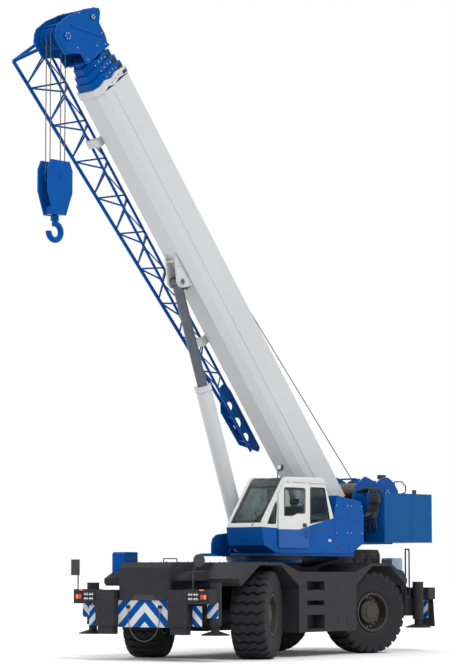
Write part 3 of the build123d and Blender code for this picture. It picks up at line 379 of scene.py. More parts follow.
class CraneSizes(bpy.types.PropertyGroup):
    """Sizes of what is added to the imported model."""

    lug_count: IntProperty(name="Lugs", default=27, min=12, max=60,
                           description="Tread lugs around one tyre")
    lug_height: FloatProperty(name="Lug height", default=0.055, unit="LENGTH",
                              description="Height of a tread lug above the tyre's carcass")
    groove: FloatProperty(name="Groove", default=0.058, unit="LENGTH",
                          description="Gap between two tread lugs")
    stripe: FloatProperty(name="Stripe", default=0.135, unit="LENGTH",
                          description="Width of a warning stripe, across the stripe")
    rope: FloatProperty(name="Hoist rope", default=0.022, unit="LENGTH",
                        description="Diameter of the hoist rope")
    rope_lay: FloatProperty(name="Rope lay", default=0.15, unit="LENGTH",
                            description="Length in which a strand goes once round the rope")
    rope_lead: FloatProperty(name="Rope lead", default=0.08, min=0.02, max=1.0, subtype="FACTOR",
                             description="Share of the hoist rope that follows its drum")
    hose: FloatProperty(name="Hose", default=0.032, unit="LENGTH",
                        description="Outside diameter of the hydraulic hoses")
    camera_distance: FloatProperty(name="Camera distance", default=52.295, unit="LENGTH",
                                   description="From the origin to the camera, along the ground")
    camera_bearing: FloatProperty(name="Camera bearing", default=math.radians(31.241),
                                  subtype="ANGLE",
                                  description="From the carrier's front towards its left")
    camera_height: FloatProperty(name="Camera height", default=1.72, unit="LENGTH",
                                 description="Above the ground")
    camera_turn: FloatProperty(name="Camera heading", default=math.radians(32.116),
                               subtype="ANGLE",
                               description="The way it looks, as the bearing it looks back from")
    camera_tilt: FloatProperty(name="Camera tilt", default=math.radians(5.717), subtype="ANGLE",
                               description="Above the level")
    camera_reach: FloatProperty(name="Camera reach", default=3.599,
                                description="Focal length in heights of the image")


colours = None                   # the two groups, set by main() once they are registered
sizes = None
finishes = {}                    # finish name: material


# ------------------------------------------------------------------ finishes
def make_finishes():
    """Every material, each named for what the real surface is."""
    blue, grey, dark = colours.upper_blue, colours.pale_grey, colours.charcoal
    white = colours.cab_white
    # Sprayed polyurethane enamel on plate: an even gloss, faint orange peel, dust in patches.
    finishes["blue enamel"] = surface(
        "sprayed blue enamel on steel plate", shade(blue, 0.86), shade(blue, 1.06), 0.9, 0.3, 0.06,
        0.02, 0.0004, bevel=0.012, wear=shade(blue, 1.35), **{"Specular IOR Level": 0.3,
                                                            "Specular Tint": linear("#3A86E0")})
    # The blue enamel on the cast weight, drawn a darker blue than on the upper works, a little
    # duller and with a rougher skin.
    finishes["tail enamel"] = surface(
        "sprayed blue enamel on cast weight", shade(colours.tail_blue, 0.9),
        shade(colours.tail_blue, 1.05), 1.3, 0.4, 0.06, 0.03, 0.0012, bevel=0.02,
        wear=shade(colours.tail_blue, 1.4), **{"Specular IOR Level": 0.25,
                                              "Specular Tint": linear("#3A86E0")})
    # Pale enamel on the boom and cab: clean, smooth, with long soft variations.
    finishes["pale enamel"] = surface(
        "sprayed pale grey enamel on steel plate", shade(grey, 0.94), shade(grey, 1.01), 1.6, 0.34,
        0.05, 0.02, 0.0003, bevel=0.012, wear=shade(grey, 0.8), **{"Coat Weight": 0.25,
                                                                 "Coat Roughness": 0.15})
    finishes["cab enamel"] = surface(
        "sprayed white enamel on the cab", shade(white, 0.95), shade(white, 1.02), 0.8, 0.3, 0.05,
        0.02, 0.0003, bevel=0.01, wear=shade(white, 0.8), **{"Specular IOR Level": 0.3})
    # The door carries both enamels, parted by the line where the cab's shell meets its tub.
    finishes["door enamel"] = two_tone("white and blue enamel on the door", finishes["cab enamel"],
                                       blue)
    # Chassis paint: a thick semi-matt coat that holds road dust.
    finishes["chassis paint"] = surface(
        "semi-matt charcoal chassis paint", shade(dark, 0.85), shade(dark, 1.15), 0.5, 0.55, 0.08,
        0.012, 0.0008, bevel=0.01, wear=shade(dark, 1.6), **{"Specular IOR Level": 0.1})
    # Tyre rubber: matt black, greyer where road dust sits.
    finishes["tread rubber"] = surface("moulded tyre rubber", "#141415", "#28282B", 0.25, 0.72,
                                       0.08, 0.008, 0.0012, **{"Specular IOR Level": 0.25})
    # Wheel paint: the chassis colour, browned by brake dust on its inner turns.
    finishes["wheel paint"] = surface("charcoal wheel paint with brake dust", "#2A2826",
                                      "#45413A", 0.16, 0.5, 0.08, 0.01, 0.0006, bevel=0.006,
                                      wear="#6A6458", **{"Specular IOR Level": 0.3})
    # Hard chrome on the lift rod: a dark mirror with a film of oil.
    finishes["hard chrome"] = surface("ground hard chrome with an oil film", "#4A4E55", "#666B73",
                                      0.5, 0.2, 0.05, 0.004, 0.00005, **{"Metallic": 1.0})
    # Bare machined steel on pins and sheave rims.
    finishes["bright steel"] = surface("machined steel", "#8E9093", "#B5B7BA", 0.08, 0.34, 0.08,
                                       0.003, 0.0002, **{"Metallic": 1.0})
    # Drawn rope wire with grease between the strands.
    finishes["rope wire"] = surface("greased galvanised rope wire", "#4B4845", "#77736E", 0.05,
                                    0.45, 0.08, 0.002, 0.0003, **{"Metallic": 0.8})
    # Extruded rubber seals and moulded black covers.
    finishes["black rubber"] = surface("extruded black rubber", "#0C0C0D", "#1A1A1C", 0.2, 0.6,
                                       0.07, 0.003, 0.0003)
    # Hydraulic hose: black rubber with a wrapped, slightly shiny skin.
    finishes["hose rubber"] = surface("wrapped hydraulic hose rubber", "#101012", "#222225", 0.1,
                                      0.42, 0.07, 0.004, 0.0004)
    # Moulded plastic of the lamp housings and the console.
    finishes["black plastic"] = surface("moulded black polypropylene", "#161719", "#26282B", 0.3,
                                        0.5, 0.06, 0.002, 0.0002, bevel=0.004)
    # Woven seat cloth, drawn coarser than the real 1.5 mm thread so that it shows.
    finishes["seat cloth"] = surface("woven seat cloth", "#39414A", "#525B66", 0.1, 0.9, 0.03,
                                     0.005, 0.002, **{"Sheen Weight": 0.4, "Sheen Roughness": 0.5})
    # Retroreflective sheet of the warning boards: flat, slightly soft gloss.
    finishes["white sheet"] = surface("white retroreflective sheet", "#B2B6B8", "#C6CACC", 0.3,
                                      0.35, 0.05, 0.003, 0.0001)
    finishes["blue sheet"] = surface("blue retroreflective sheet", shade(colours.stripe_blue, 0.9),
                                     shade(colours.stripe_blue, 1.05), 0.3, 0.35, 0.05, 0.003,
                                     0.0001, **{"Specular IOR Level": 0.2,
                                                "Specular Tint": linear("#3A86E0")})
    finishes["tank enamel"] = surface("pale blue tank enamel", shade(colours.tank_blue, 0.88),
                                      shade(colours.tank_blue, 1.05), 0.4, 0.4, 0.06, 0.01, 0.0004,
                                      bevel=0.01, wear=shade(colours.tank_blue, 0.7))
    # Moulded acrylic lenses, bright from the reflector behind them.
    finishes["amber lens"] = surface("moulded amber acrylic", shade(colours.amber, 0.9),
                                     colours.amber, 0.05, 0.12, 0.03, 0.01, 0.001,
                                     **{"Coat Weight": 0.6})
    finishes["red lens"] = surface("moulded red acrylic", "#8E0D12", "#C4161D", 0.05, 0.12, 0.03,
                                   0.01, 0.001, **{"Coat Weight": 0.6})
    finishes["clear lens"] = surface("fluted clear acrylic over a reflector", "#B9BCC0", "#F4F6F8",
                                     0.03, 0.1, 0.03, 0.012, 0.002, **{"Metallic": 0.5,
                                                                      "Coat Weight": 0.8})
    finishes["mirror glass"] = surface("silvered mirror glass", "#AEB6BC", "#C6CDD2", 0.4, 0.05,
                                       0.02, 0.01, 0.00002, **{"Metallic": 1.0})
    finishes["red knob"] = surface("moulded red phenolic", "#A51520", "#D02030", 0.05, 0.3, 0.05,
                                   0.005, 0.0002)
    # Toughened safety glass with a faint green-grey tint.
    finishes["cab glass"] = clear_skin("tinted toughened glass", "#6F8583", 0.02,
                                       **{"IOR": 1.2, "Alpha": 0.7})


def shade(code, factor):
    """A hex colour made darker or lighter."""
    parts = [int(code.lstrip("#")[i:i + 2], 16) for i in (0, 2, 4)]
    return "#" + "".join(f"{max(0, min(255, round(c * factor))):02X}" for c in parts)


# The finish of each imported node, by the start of the node's name.
NODE_FINISHES = (
    ("axles", "chassis paint"), ("boom_base", "pale enamel"), ("boom_cheeks", "blue enamel"),
    ("boom_head", "blue enamel"), ("boom_section", "blue enamel"), ("cab_door", "door enamel"),
    ("cab_glass", "cab glass"), ("cab_seat", "seat cloth"), ("cab_shell", "cab enamel"),
    ("carrier_frame", "chassis paint"), ("counterweight", "tail enamel"),
    ("engine_block", "chassis paint"), ("front_b", "chassis paint"), ("rear_b", "chassis paint"),
    ("handrails", "chassis paint"), ("head_sheaves", "blue enamel"), ("hook", "blue enamel"),
    ("jack", "chassis paint"), ("jib", "blue enamel"), ("knuckle", "chassis paint"),
    ("lamps", "black plastic"), ("lift_barrel", "pale enamel"), ("lift_rod", "hard chrome"),
    ("outrigger", "chassis paint"), ("rim", "wheel paint"), ("side_body", "blue enamel"),
    ("side_decks", "chassis paint"), ("turntable", "blue enamel"), ("tyre", "tread rubber"),
    ("winch", "blue enamel"), ("mirrors", "black plastic"), ("tank", "tank enamel"),
    ("deck_box", "blue enamel"), ("tow_rope", "rope wire"),
)


class CRANE_OT_paint(bpy.types.Operator):
    """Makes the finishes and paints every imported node"""

    bl_idname = "crane.paint"
    bl_label = "Paint the packed model"

    def execute(self, context):
        make_finishes()
        for name, node in nodes.items():
            found = [finish for start, finish in NODE_FINISHES if name.startswith(start)]
            if not found:
                raise RuntimeError(f"no finish is given for node {name}")
            if not node.material_slots:
                node.data.materials.append(None)
            for slot in node.material_slots:
                slot.material = finishes[found[0]]
        return {"FINISHED"}


# ------------------------------------------------------------------ repeats by Geometry Nodes
def new_tree(name, inputs):
    """A geometry node tree with named inputs, and its group input and output nodes."""
    tree = bpy.data.node_groups.new(name, "GeometryNodeTree")
    tree.interface.new_socket("Geometry", in_out="INPUT", socket_type="NodeSocketGeometry")
    for label, kind in inputs:
        tree.interface.new_socket(label, in_out="INPUT", socket_type=f"NodeSocket{kind}")
    tree.interface.new_socket("Geometry", in_out="OUTPUT", socket_type="NodeSocketGeometry")
    return tree, add(tree, "NodeGroupInput"), add(tree, "NodeGroupOutput")


def ring_tree():
    """Repeats a shape around the Y axis."""
    tree, given, out = new_tree("Ring of shapes", (("Shape", "Object"), ("Count", "Int"),
                                                   ("Finish", "Material")))
    points = add(tree, "GeometryNodeMeshLine", {"Count": given.outputs["Count"],
                                                "Offset": (0, 0, 0)})
    index = add(tree, "GeometryNodeInputIndex")
    step = add(tree, "ShaderNodeMath", {0: 2 * math.pi, 1: given.outputs["Count"]},
               operation="DIVIDE")
    turn = add(tree, "ShaderNodeMath", {0: index.outputs[0], 1: step.outputs[0]},
               operation="MULTIPLY")
    spin = add(tree, "ShaderNodeCombineXYZ", {"Y": turn.outputs[0]})
    shape = add(tree, "GeometryNodeObjectInfo", {"Object": given.outputs["Shape"]})
    copies = add(tree, "GeometryNodeInstanceOnPoints", {
        "Points": points.outputs["Mesh"], "Instance": shape.outputs["Geometry"],
        "Rotation": spin.outputs[0]})
    real = add(tree, "GeometryNodeRealizeInstances", {"Geometry": copies.outputs["Instances"]})
    paint = add(tree, "GeometryNodeSetMaterial", {"Geometry": real.outputs["Geometry"],
                                                  "Material": given.outputs["Finish"]})
    tree.links.new(paint.outputs["Geometry"], out.inputs["Geometry"])
    return tree


def spot_tree():
    """Puts a shape on every point of the host mesh, its Z along the point's own facing."""
    tree, given, out = new_tree("Shapes on spots", (("Shape", "Object"), ("Finish", "Material")))
    facing = add(tree, "GeometryNodeInputNamedAttribute", {"Name": "facing"},
                 data_type="FLOAT_VECTOR")
    lean = add(tree, "FunctionNodeAlignEulerToVector", {"Vector": facing.outputs["Attribute"]},
               axis="Z")
    shape = add(tree, "GeometryNodeObjectInfo", {"Object": given.outputs["Shape"]})
    copies = add(tree, "GeometryNodeInstanceOnPoints", {
        "Points": given.outputs["Geometry"], "Instance": shape.outputs["Geometry"],
        "Rotation": lean.outputs["Rotation"]})
    real = add(tree, "GeometryNodeRealizeInstances", {"Geometry": copies.outputs["Instances"]})
    paint = add(tree, "GeometryNodeSetMaterial", {"Geometry": real.outputs["Geometry"],
                                                  "Material": given.outputs["Finish"]})
    tree.links.new(paint.outputs["Geometry"], out.inputs["Geometry"])
    return tree


def strand_tree():
    """Turns each line of the host mesh into a rope of six strands laid round each other."""
    tree, given, out = new_tree("Laid rope", (("Diameter", "Float"), ("Lay", "Float"),
                                              ("Finish", "Material")))
    line = add(tree, "GeometryNodeMeshToCurve", {"Mesh": given.outputs["Geometry"]})
    step = add(tree, "ShaderNodeMath", {0: given.outputs["Lay"], 1: 0.125}, operation="MULTIPLY")
    fine = add(tree, "GeometryNodeResampleCurve", {"Curve": line.outputs["Curve"],
                                                   "Length": step.outputs[0]}, mode="LENGTH")
    along = add(tree, "GeometryNodeSplineParameter")
    tangent = add(tree, "GeometryNodeInputTangent")
    normal = add(tree, "GeometryNodeInputNormal")
    rope = add(tree, "GeometryNodeJoinGeometry")
    for strand in range(6):
        # Each strand is the line itself, moved out by a third of the rope and turned with the lay.
        rounds = add(tree, "ShaderNodeMath", {0: along.outputs["Length"], 1: given.outputs["Lay"]},
                     operation="DIVIDE")
        angle = add(tree, "ShaderNodeMath", {0: rounds.outputs[0], 1: 2 * math.pi,
                                             2: strand * math.pi / 3}, operation="MULTIPLY_ADD")
        spoke = add(tree, "ShaderNodeVectorRotate", {"Vector": normal.outputs[0],
                                                     "Axis": tangent.outputs[0],
                                                     "Angle": angle.outputs[0]},
                    rotation_type="AXIS_ANGLE")
        third = add(tree, "ShaderNodeMath", {0: given.outputs["Diameter"], 1: 0.333},
                    operation="MULTIPLY")
        out_by = add(tree, "ShaderNodeVectorMath", {0: spoke.outputs[0], "Scale": third.outputs[0]},
                     operation="SCALE")
        moved = add(tree, "GeometryNodeSetPosition", {"Geometry": fine.outputs["Curve"],
                                                      "Offset": out_by.outputs[0]})
        sixth = add(tree, "ShaderNodeMath", {0: given.outputs["Diameter"], 1: 0.18},
                    operation="MULTIPLY")
        round_wire = add(tree, "GeometryNodeCurvePrimitiveCircle", {"Resolution": 5,
                                                                   "Radius": sixth.outputs[0]})
        tube = add(tree, "GeometryNodeCurveToMesh", {"Curve": moved.outputs["Geometry"],
                                                     "Profile Curve": round_wire.outputs["Curve"],
                                                     "Fill Caps": True})
        tree.links.new(tube.outputs["Mesh"], rope.inputs["Geometry"])
    paint = add(tree, "GeometryNodeSetMaterial", {"Geometry": rope.outputs["Geometry"],
                                                  "Material": given.outputs["Finish"]})
    tree.links.new(paint.outputs["Geometry"], out.inputs["Geometry"])
    return tree


def grown(name, host, tree, values, finish, body, place=GROUND, smooth=35.0):
    """The mesh that a node tree makes from a host mesh, as a plain piece on one body."""
    item = bpy.data.objects.new(name + "_host", host)
    bpy.context.scene.collection.objects.link(item)
    modifier = item.modifiers.new("repeat", "NODES")
    modifier.node_group = tree
    sockets = {s.name: s.identifier for s in tree.interface.items_tree if s.in_out == "INPUT"}
    for label, value in {**values, "Finish": finishes[finish]}.items():
        modifier[sockets[label]] = value
    bpy.context.view_layer.update()
    view = bpy.context.evaluated_depsgraph_get()
    data = bpy.data.meshes.new_from_object(item.evaluated_get(view))
    data.name = name
    bpy.data.objects.remove(item)
    data.transform(place)
    if name in bpy.data.objects:
        raise RuntimeError(f"piece {name} is made twice")
    return settle(name, data, finishes[finish], body, smooth)


def pattern_object(name, form):
    """A shape that only a node tree uses: an object outside the scene."""
    data = bpy.data.meshes.new(name)
    bmesh.ops.recalc_face_normals(form.mesh, faces=form.mesh.faces)
    form.mesh.to_mesh(data)
    form.mesh.free()
    return bpy.data.objects.new(name, data)


def spots(name, places):
    """A host mesh with one point for each (spot, facing) pair."""
    data = bpy.data.meshes.new(name)
    data.from_pydata([tuple(spot) for spot, _ in places], [], [])
    facing = data.attributes.new("facing", "FLOAT_VECTOR", "POINT")
    facing.data.foreach_set("vector", [c for _, way in places for c in way])
    return data


def empty_host(name):
    """A host mesh of one point, for a tree that makes its own."""
    data = bpy.data.meshes.new(name)
    data.from_pydata([(0, 0, 0)], [], [])
    return data


def line_host(name, lines):
    """A host mesh of open lines."""
    data = bpy.data.meshes.new(name)
    points, edges = [], []
    for line in lines:
        first = len(points)
        points += [tuple(point) for point in line]
        edges += [(first + i, first + i + 1) for i in range(len(line) - 1)]
    data.from_pydata(points, edges, [])
    return data


# ------------------------------------------------------------------ tyres and wheels
TYRE_RADIUS = (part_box("tyre_front_left")[1].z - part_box("tyre_front_left")[0].z) / 2
TYRE_HALF = 0.375                # half the tyre's width
SIDEWALL = (                     # (radius, half width) from the bead to the shoulder
    (0.402, 0.288), (0.426, 0.303), (0.455, 0.335), (0.50, 0.354), (0.56, 0.362), (0.598, 0.364),
    (0.604, 0.371), (0.618, 0.371), (0.624, 0.365), (0.70, 0.367), (0.76, 0.368), (0.80, 0.362),
    (0.83, 0.345), (0.85, 0.312),
)
LUG_LINE = (                     # across the tread: (along the axle, outer radius, zigzag lean)
    (-0.374, 0.785, -0.6), (-0.356, 0.862, -0.55), (-0.31, 0.893, -0.4), (-0.20, 0.899, 1.0),
    (-0.10, 0.9, -0.3), (0.0, 0.9, 1.0), (0.10, 0.9, -0.3), (0.20, 0.899, 1.0),
    (0.31, 0.893, -0.4), (0.356, 0.862, -0.55), (0.374, 0.785, -0.6),
)
LUG_LEAN = 0.045                 # how far a lug's zigzag swings round the tyre, in radians


def lug_pattern():
    """One tread lug, lying across the top of the tyre, its zigzag edges facing its neighbours."""
    form = Form()
    half_turn = math.pi / sizes.lug_count - sizes.groove / 2 / TYRE_RADIUS
    rows = []
    for along, outer, lean in LUG_LINE:
        root = outer - sizes.lug_height - (0.012 if abs(along) > 0.3 else 0.0)
        row = []
        for turn, reach in ((-1.0, root), (-0.94, outer), (0, outer), (0.94, outer), (1.0, root)):
            angle = turn * half_turn + lean * LUG_LEAN
            row.append(form.mesh.verts.new((reach * math.sin(angle), along * TYRE_HALF / 0.375,
                                            reach * math.cos(angle))))
        rows.append(row)
    for low, high in zip(rows, rows[1:]):
        for k in range(5):
            m = (k + 1) % 5
            form.mesh.faces.new((low[k], low[m], high[m], high[k]))
    form.mesh.faces.new(list(reversed(rows[0])))
    form.mesh.faces.new(rows[-1])
    return pattern_object("lug_pattern", form)


class CRANE_OT_tyres(bpy.types.Operator):
    """Moulds the four tyres: carcass with sidewall bands, and zigzag lugs across the tread"""

    bl_idname = "crane.tyres"
    bl_label = "Tyres"

    def execute(self, context):
        lug, tree = lug_pattern(), ring_tree()
        base = TYRE_RADIUS - sizes.lug_height
        for wheel in WHEELS:
            crown = [(base, 0.24), (base, -0.24)]
            profile = [*SIDEWALL, *crown, *[(r, -y) for r, y in reversed(SIDEWALL)], SIDEWALL[0]]
            carcass = Form().turned(profile, sides=72)
            tyre = carcass.piece(f"tyre_carcass_{wheel}", finishes["tread rubber"],
                                 f"wheel_{wheel}", wheel_place(wheel), smooth=40.0)
            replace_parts(tyre, f"tyre_{wheel}")
            lugs = grown(f"tyre_lugs_{wheel}", empty_host("axle"), tree,
                         {"Shape": lug, "Count": sizes.lug_count}, "tread rubber",
                         f"wheel_{wheel}", wheel_place(wheel))
        return {"FINISHED"}


class CRANE_OT_wheel_trim(bpy.types.Operator):
    """Adds the wheel nuts, hub bolts, lock rings and valves"""

    bl_idname = "crane.wheel_trim"
    bl_label = "Wheel trim"

    def execute(self, context):
        tree = ring_tree()
        nut = Form().turned([(0, 0.095), (0.021, 0.095), (0.021, 0.118), (0.012, 0.124),
                             (0.012, 0.136), (0, 0.136)], Matrix.Translation((0, 0, 0.325)),
                            sides=6)
        nut = pattern_object("nut_pattern", nut)
        bolt = Form().turned([(0, 0.262), (0.013, 0.262), (0.013, 0.272), (0, 0.276)],
                             Matrix.Translation((0, 0, 0.19)), sides=6)
        bolt = pattern_object("bolt_pattern", bolt)
        for wheel in WHEELS:
            body, place = f"wheel_{wheel}", wheel_place(wheel)
            grown(f"wheel_nuts_{wheel}", empty_host("axle"), tree, {"Shape": nut, "Count": 20},
                  "bright steel", body, place)
            grown(f"hub_bolts_{wheel}", empty_host("axle"), tree, {"Shape": bolt, "Count": 16},
                  "wheel paint", body, place)
            ring = Form()
            for radius, along, thick in ((0.419, 0.333, 0.011), (0.392, 0.30, 0.009)):
                circle = [(radius * math.cos(t * math.pi / 24), along,
                           radius * math.sin(t * math.pi / 24)) for t in range(48)]
                ring.tube(circle, thick, sides=8, closed=True)
            ring.tube([(0.36, 0.10, 0.0), (0.36, 0.20, 0.0), (0.352, 0.235, 0.0)], 0.008, sides=8)
            ring.piece(f"rim_rings_{wheel}", finishes["wheel paint"], body, place)
        return {"FINISHED"}


# ------------------------------------------------------------------ boards and lamps
def clipped(outline, inside, cross):
    """The part of an outline on one side of a line."""
    out = []
    for here, after in zip(outline, outline[1:] + outline[:1]):
        if inside(here):
            out.append(here)
        if inside(here) != inside(after):
            out.append(cross(here, after))
    return out


def stripe_shapes(low, high, width, lean, first):
    """The slanting stripes of a board from corner low to corner high, as outlines.

    The lowest white band is first high, and every later band is as wide as a stripe.
    """
    board = [(low[0], low[1]), (high[0], low[1]), (high[0], high[1]), (low[0], high[1])]
    step = width * math.sqrt(2)

    def level(point):
        return point[1] - lean * point[0]

    def cut(outline, value, side):
        def cross(a, b):
            t = (value - level(a)) / (level(b) - level(a))
            return (a[0] + t * (b[0] - a[0]), a[1] + t * (b[1] - a[1]))
        return clipped(outline, lambda p: side * (level(p) - value) > 0, cross)

    levels = [level(point) for point in board]
    shapes, start = [], min(levels) + first
    while start < max(levels):
        shape = cut(cut(board, start, 1), start + step, -1)
        if len(shape) > 2:
            shapes.append(shape)
        start += 2 * step
    return shapes


def striped_board(name, body, x, y_range, z_range, lean, face=1):
    """A white sheet with slanting blue stripes, facing along +X or -X; lean 0 is a chevron."""
    low, high = (min(y_range), min(z_range)), (max(y_range), max(z_range))
    sheet = Form().box((x, x + face * 0.003), y_range, z_range)
    board = sheet.piece(f"{name}_sheet", finishes["white sheet"], body)
    stripes = Form()
    halves = [(low, high, lean)] if lean else [(low, (0.0, high[1]), 1), ((0.0, low[1]), high, -1)]
    for corner, opposite, slope in halves:
        width, first = (sizes.stripe, 0.113) if lean == 0 else (sizes.stripe * 0.75, 0.05)
        for shape in stripe_shapes(corner, opposite, width, slope, first):
            stripes.slab(shape, x + face * 0.0028, x + face * 0.0045, axis="X")
    stripes.piece(f"{name}_stripes", finishes["blue sheet"], body)


class CRANE_OT_boards(bpy.types.Operator):
    """Puts the chevron board in front and the striped boards at the corners"""

    bl_idname = "crane.boards"
    bl_label = "Warning boards"

    def execute(self, context):
        striped_board("front_board", "carrier", 4.521, (-0.645, 0.645), (0.672, 1.208), 0)
        for side, hand in ((1, "left"), (-1, "right")):
            striped_board(f"bumper_board_{hand}", "carrier", 4.521, (side * 1.14, side * 1.36),
                          (0.70, 1.10), -side)
            striped_board(f"jack_board_front_{hand}", f"outrigger_front_{hand}", 4.36,
                          (side * 1.375, side * 1.64), (0.86, 1.17), side)
            striped_board(f"rear_jack_board_{hand}", "carrier", -4.659, (side * 1.40, side * 1.62),
                          (0.74, 1.15), side)
            striped_board(f"rear_board_{hand}", "carrier", -4.982, (side * 1.24, side * 1.58),
                          (0.66, 1.10), side, face=-1)
        return {"FINISHED"}


def lamp_lens(form, x, y, z, radius, face=1):
    """A domed round lens facing along X."""
    turn = Matrix.Rotation(-math.pi / 2 * face, 4, "Z")
    place = Matrix.Translation((x, y, z)) @ turn
    form.turned([(0, 0.016), (radius * 0.6, 0.012), (radius, 0.0), (radius, -0.012),
                 (0, -0.012)], place, sides=24)


class CRANE_OT_lamps(bpy.types.Operator):
    """Builds the head lamps, turn lamps and tail lamps with their housings"""

    bl_idname = "crane.lamps"
    bl_label = "Lamps"

    def execute(self, context):
        low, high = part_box("lamps")
        front, rear = high.x - 0.03, low.x + 0.025
        housings, clear, amber, red, guards = Form(), Form(), Form(), Form(), Form()
        for side in (1, -1):
            housings.box((front - 0.001, front + 0.014), (side * 1.125, side * 1.385),
                         (1.195, 1.375), bevel=0.012)
            housings.box((front - 0.001, front + 0.012), (side * 1.42, side * 1.58),
                         (1.225, 1.335), bevel=0.01)
            for y in (1.165, 1.228, 1.291, 1.354):
                for z in (1.243, 1.327):
                    lamp_lens(clear, front + 0.014, side * y, z, 0.028)
            red.box((front + 0.01, front + 0.026), (side * 1.43, side * 1.50), (1.237, 1.323),
                    bevel=0.01)
            amber.box((front + 0.01, front + 0.026), (side * 1.508, side * 1.57), (1.237, 1.323),
                      bevel=0.01)
            amber.box((front - 0.02, front + 0.012), (side * 1.40, side * 1.50), (1.402, 1.428),
                      bevel=0.008)
            for z in (1.225, 1.265, 1.305, 1.345):
                guards.tube([(front + 0.03, side * 1.13, z), (front + 0.03, side * 1.38, z)], 0.004,
                            sides=6)
            for y in (1.13, 1.255, 1.38):
                guards.tube([(front, side * y, 1.36), (front + 0.03, side * y, 1.36),
                             (front + 0.03, side * y, 1.21), (front, side * y, 1.21)], 0.005,
                            sides=6)
            housings.box((rear, rear - 0.012), (side * 1.17, side * 1.59), (1.21, 1.38), bevel=0.01)
            red.box((rear - 0.01, rear - 0.024), (side * 1.18, side * 1.36), (1.225, 1.365),
                    bevel=0.01)
            amber.box((rear - 0.01, rear - 0.024), (side * 1.37, side * 1.48), (1.225, 1.365),
                      bevel=0.01)
            clear.box((rear - 0.01, rear - 0.024), (side * 1.49, side * 1.58), (1.225, 1.365),
                      bevel=0.01)
        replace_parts(housings.piece("lamp_housings", finishes["black plastic"], "carrier"), "lamps")
        clear.piece("clear_lenses", finishes["clear lens"], "carrier")
        amber.piece("amber_lenses", finishes["amber lens"], "carrier")
        red.piece("red_lenses", finishes["red lens"], "carrier")
        guards.piece("lamp_guards", finishes["chassis paint"], "carrier")
        return {"FINISHED"}


# ------------------------------------------------------------------ cab
CAB_OUTER = 1.478                # left face of the cab
CAB_INNER = 0.468                # right face
CAB_WINDOWS = (                  # name, outline forward and up, face it lies on
    ("quarter", ((1.54, 2.78), (1.275, 2.78), (1.23, 3.34)), CAB_OUTER),
    ("rear_left", ((0.18, 2.80), (-0.46, 2.90), (-0.29, 3.57), (0.18, 3.57)), CAB_OUTER),
    ("front_right", ((1.43, 2.86), (0.40, 2.86), (0.40, 3.56), (1.01, 3.56)), CAB_INNER),
    ("rear_right", ((0.25, 2.86), (-0.43, 2.96), (-0.29, 3.57), (0.25, 3.57)), CAB_INNER),
)
DOOR_OUTER = 1.511               # left face of the door
DOOR_WINDOW = ((1.04, 2.96), (1.04, 3.54), (0.39, 3.54), (0.39, 3.015), (0.64, 3.015), (0.80, 2.96))
SCREEN = ((1.592, 2.80), (1.028, 3.56))      # windscreen's lower and upper edge, on the cab's slope


class CRANE_OT_cab_trim(bpy.types.Operator):
    """Fits the window seals, screen frame, wiper and door furniture of the cab"""

    bl_idname = "crane.cab_trim"
    bl_label = "Cab trim"

    def execute(self, context):
        seals = Form()
        for _, outline, face in CAB_WINDOWS:
            y = face - (0.008 if face == CAB_OUTER else 0.001)    # the door slides past outside
            loop = bent([(x, y, z) for x, z in (*outline, outline[0])], 0.04)
            seals.tube(loop, 0.011, sides=8)
        middle, half = (CAB_OUTER + CAB_INNER) / 2, (CAB_OUTER - CAB_INNER) / 2 - 0.075
        slope = (Vector((SCREEN[1][0] - SCREEN[0][0], 0, SCREEN[1][1] - SCREEN[0][1]))).normalized()
        lift = Vector((slope.z, 0, -slope.x)) * 0.004
        corners = [Vector((SCREEN[0][0], middle - half, SCREEN[0][1])),
                   Vector((SCREEN[1][0], middle - half, SCREEN[1][1])),
                   Vector((SCREEN[1][0], middle + half, SCREEN[1][1])),
                   Vector((SCREEN[0][0], middle + half, SCREEN[0][1]))]
        seals.tube([c + lift for c in corners], 0.013, sides=8, closed=True)
        seals.piece("window_seals", finishes["black rubber"], "upper", UPPER)
        door = Form()
        loop = bent([(x, DOOR_OUTER + 0.002, z) for x, z in (*DOOR_WINDOW, DOOR_WINDOW[0])], 0.04)
        door.tube(loop, 0.011, sides=8)
        door.box((0.34, 0.46), (DOOR_OUTER + 0.001, DOOR_OUTER + 0.014), (2.72, 2.80), bevel=0.008)
        door.tube(bent([(0.36, DOOR_OUTER + 0.001, 2.64), (0.36, DOOR_OUTER + 0.04, 2.64),
                        (0.36, DOOR_OUTER + 0.04, 2.50), (0.36, DOOR_OUTER + 0.001, 2.50)], 0.02),
                  0.009, sides=8)
        door.piece("door_furniture", finishes["black plastic"], "cab_door", UPPER)
        wiper = Form()
        base = Vector((1.63, 1.18, 2.72))
        tip = Vector(SCREEN[0][:1] + (1.30, SCREEN[0][1])) + slope * 0.42 + lift * 6
        wiper.box((base.x - 0.02, base.x + 0.05), (base.y - 0.035, base.y + 0.035),
                  (base.z - 0.03, base.z + 0.03), bevel=0.01)
        elbow = base + Vector((0.05, 0, 0.0))
        wiper.tube([elbow, elbow + Vector((0.01, 0, 0.03)), tip], 0.011, sides=6)
        blade = slope * 0.34
        wiper.tube([tip - blade, tip + blade * 0.5], 0.014, sides=6)
        wiper.piece("wiper", finishes["black rubber"], "upper", UPPER)
        return {"FINISHED"}


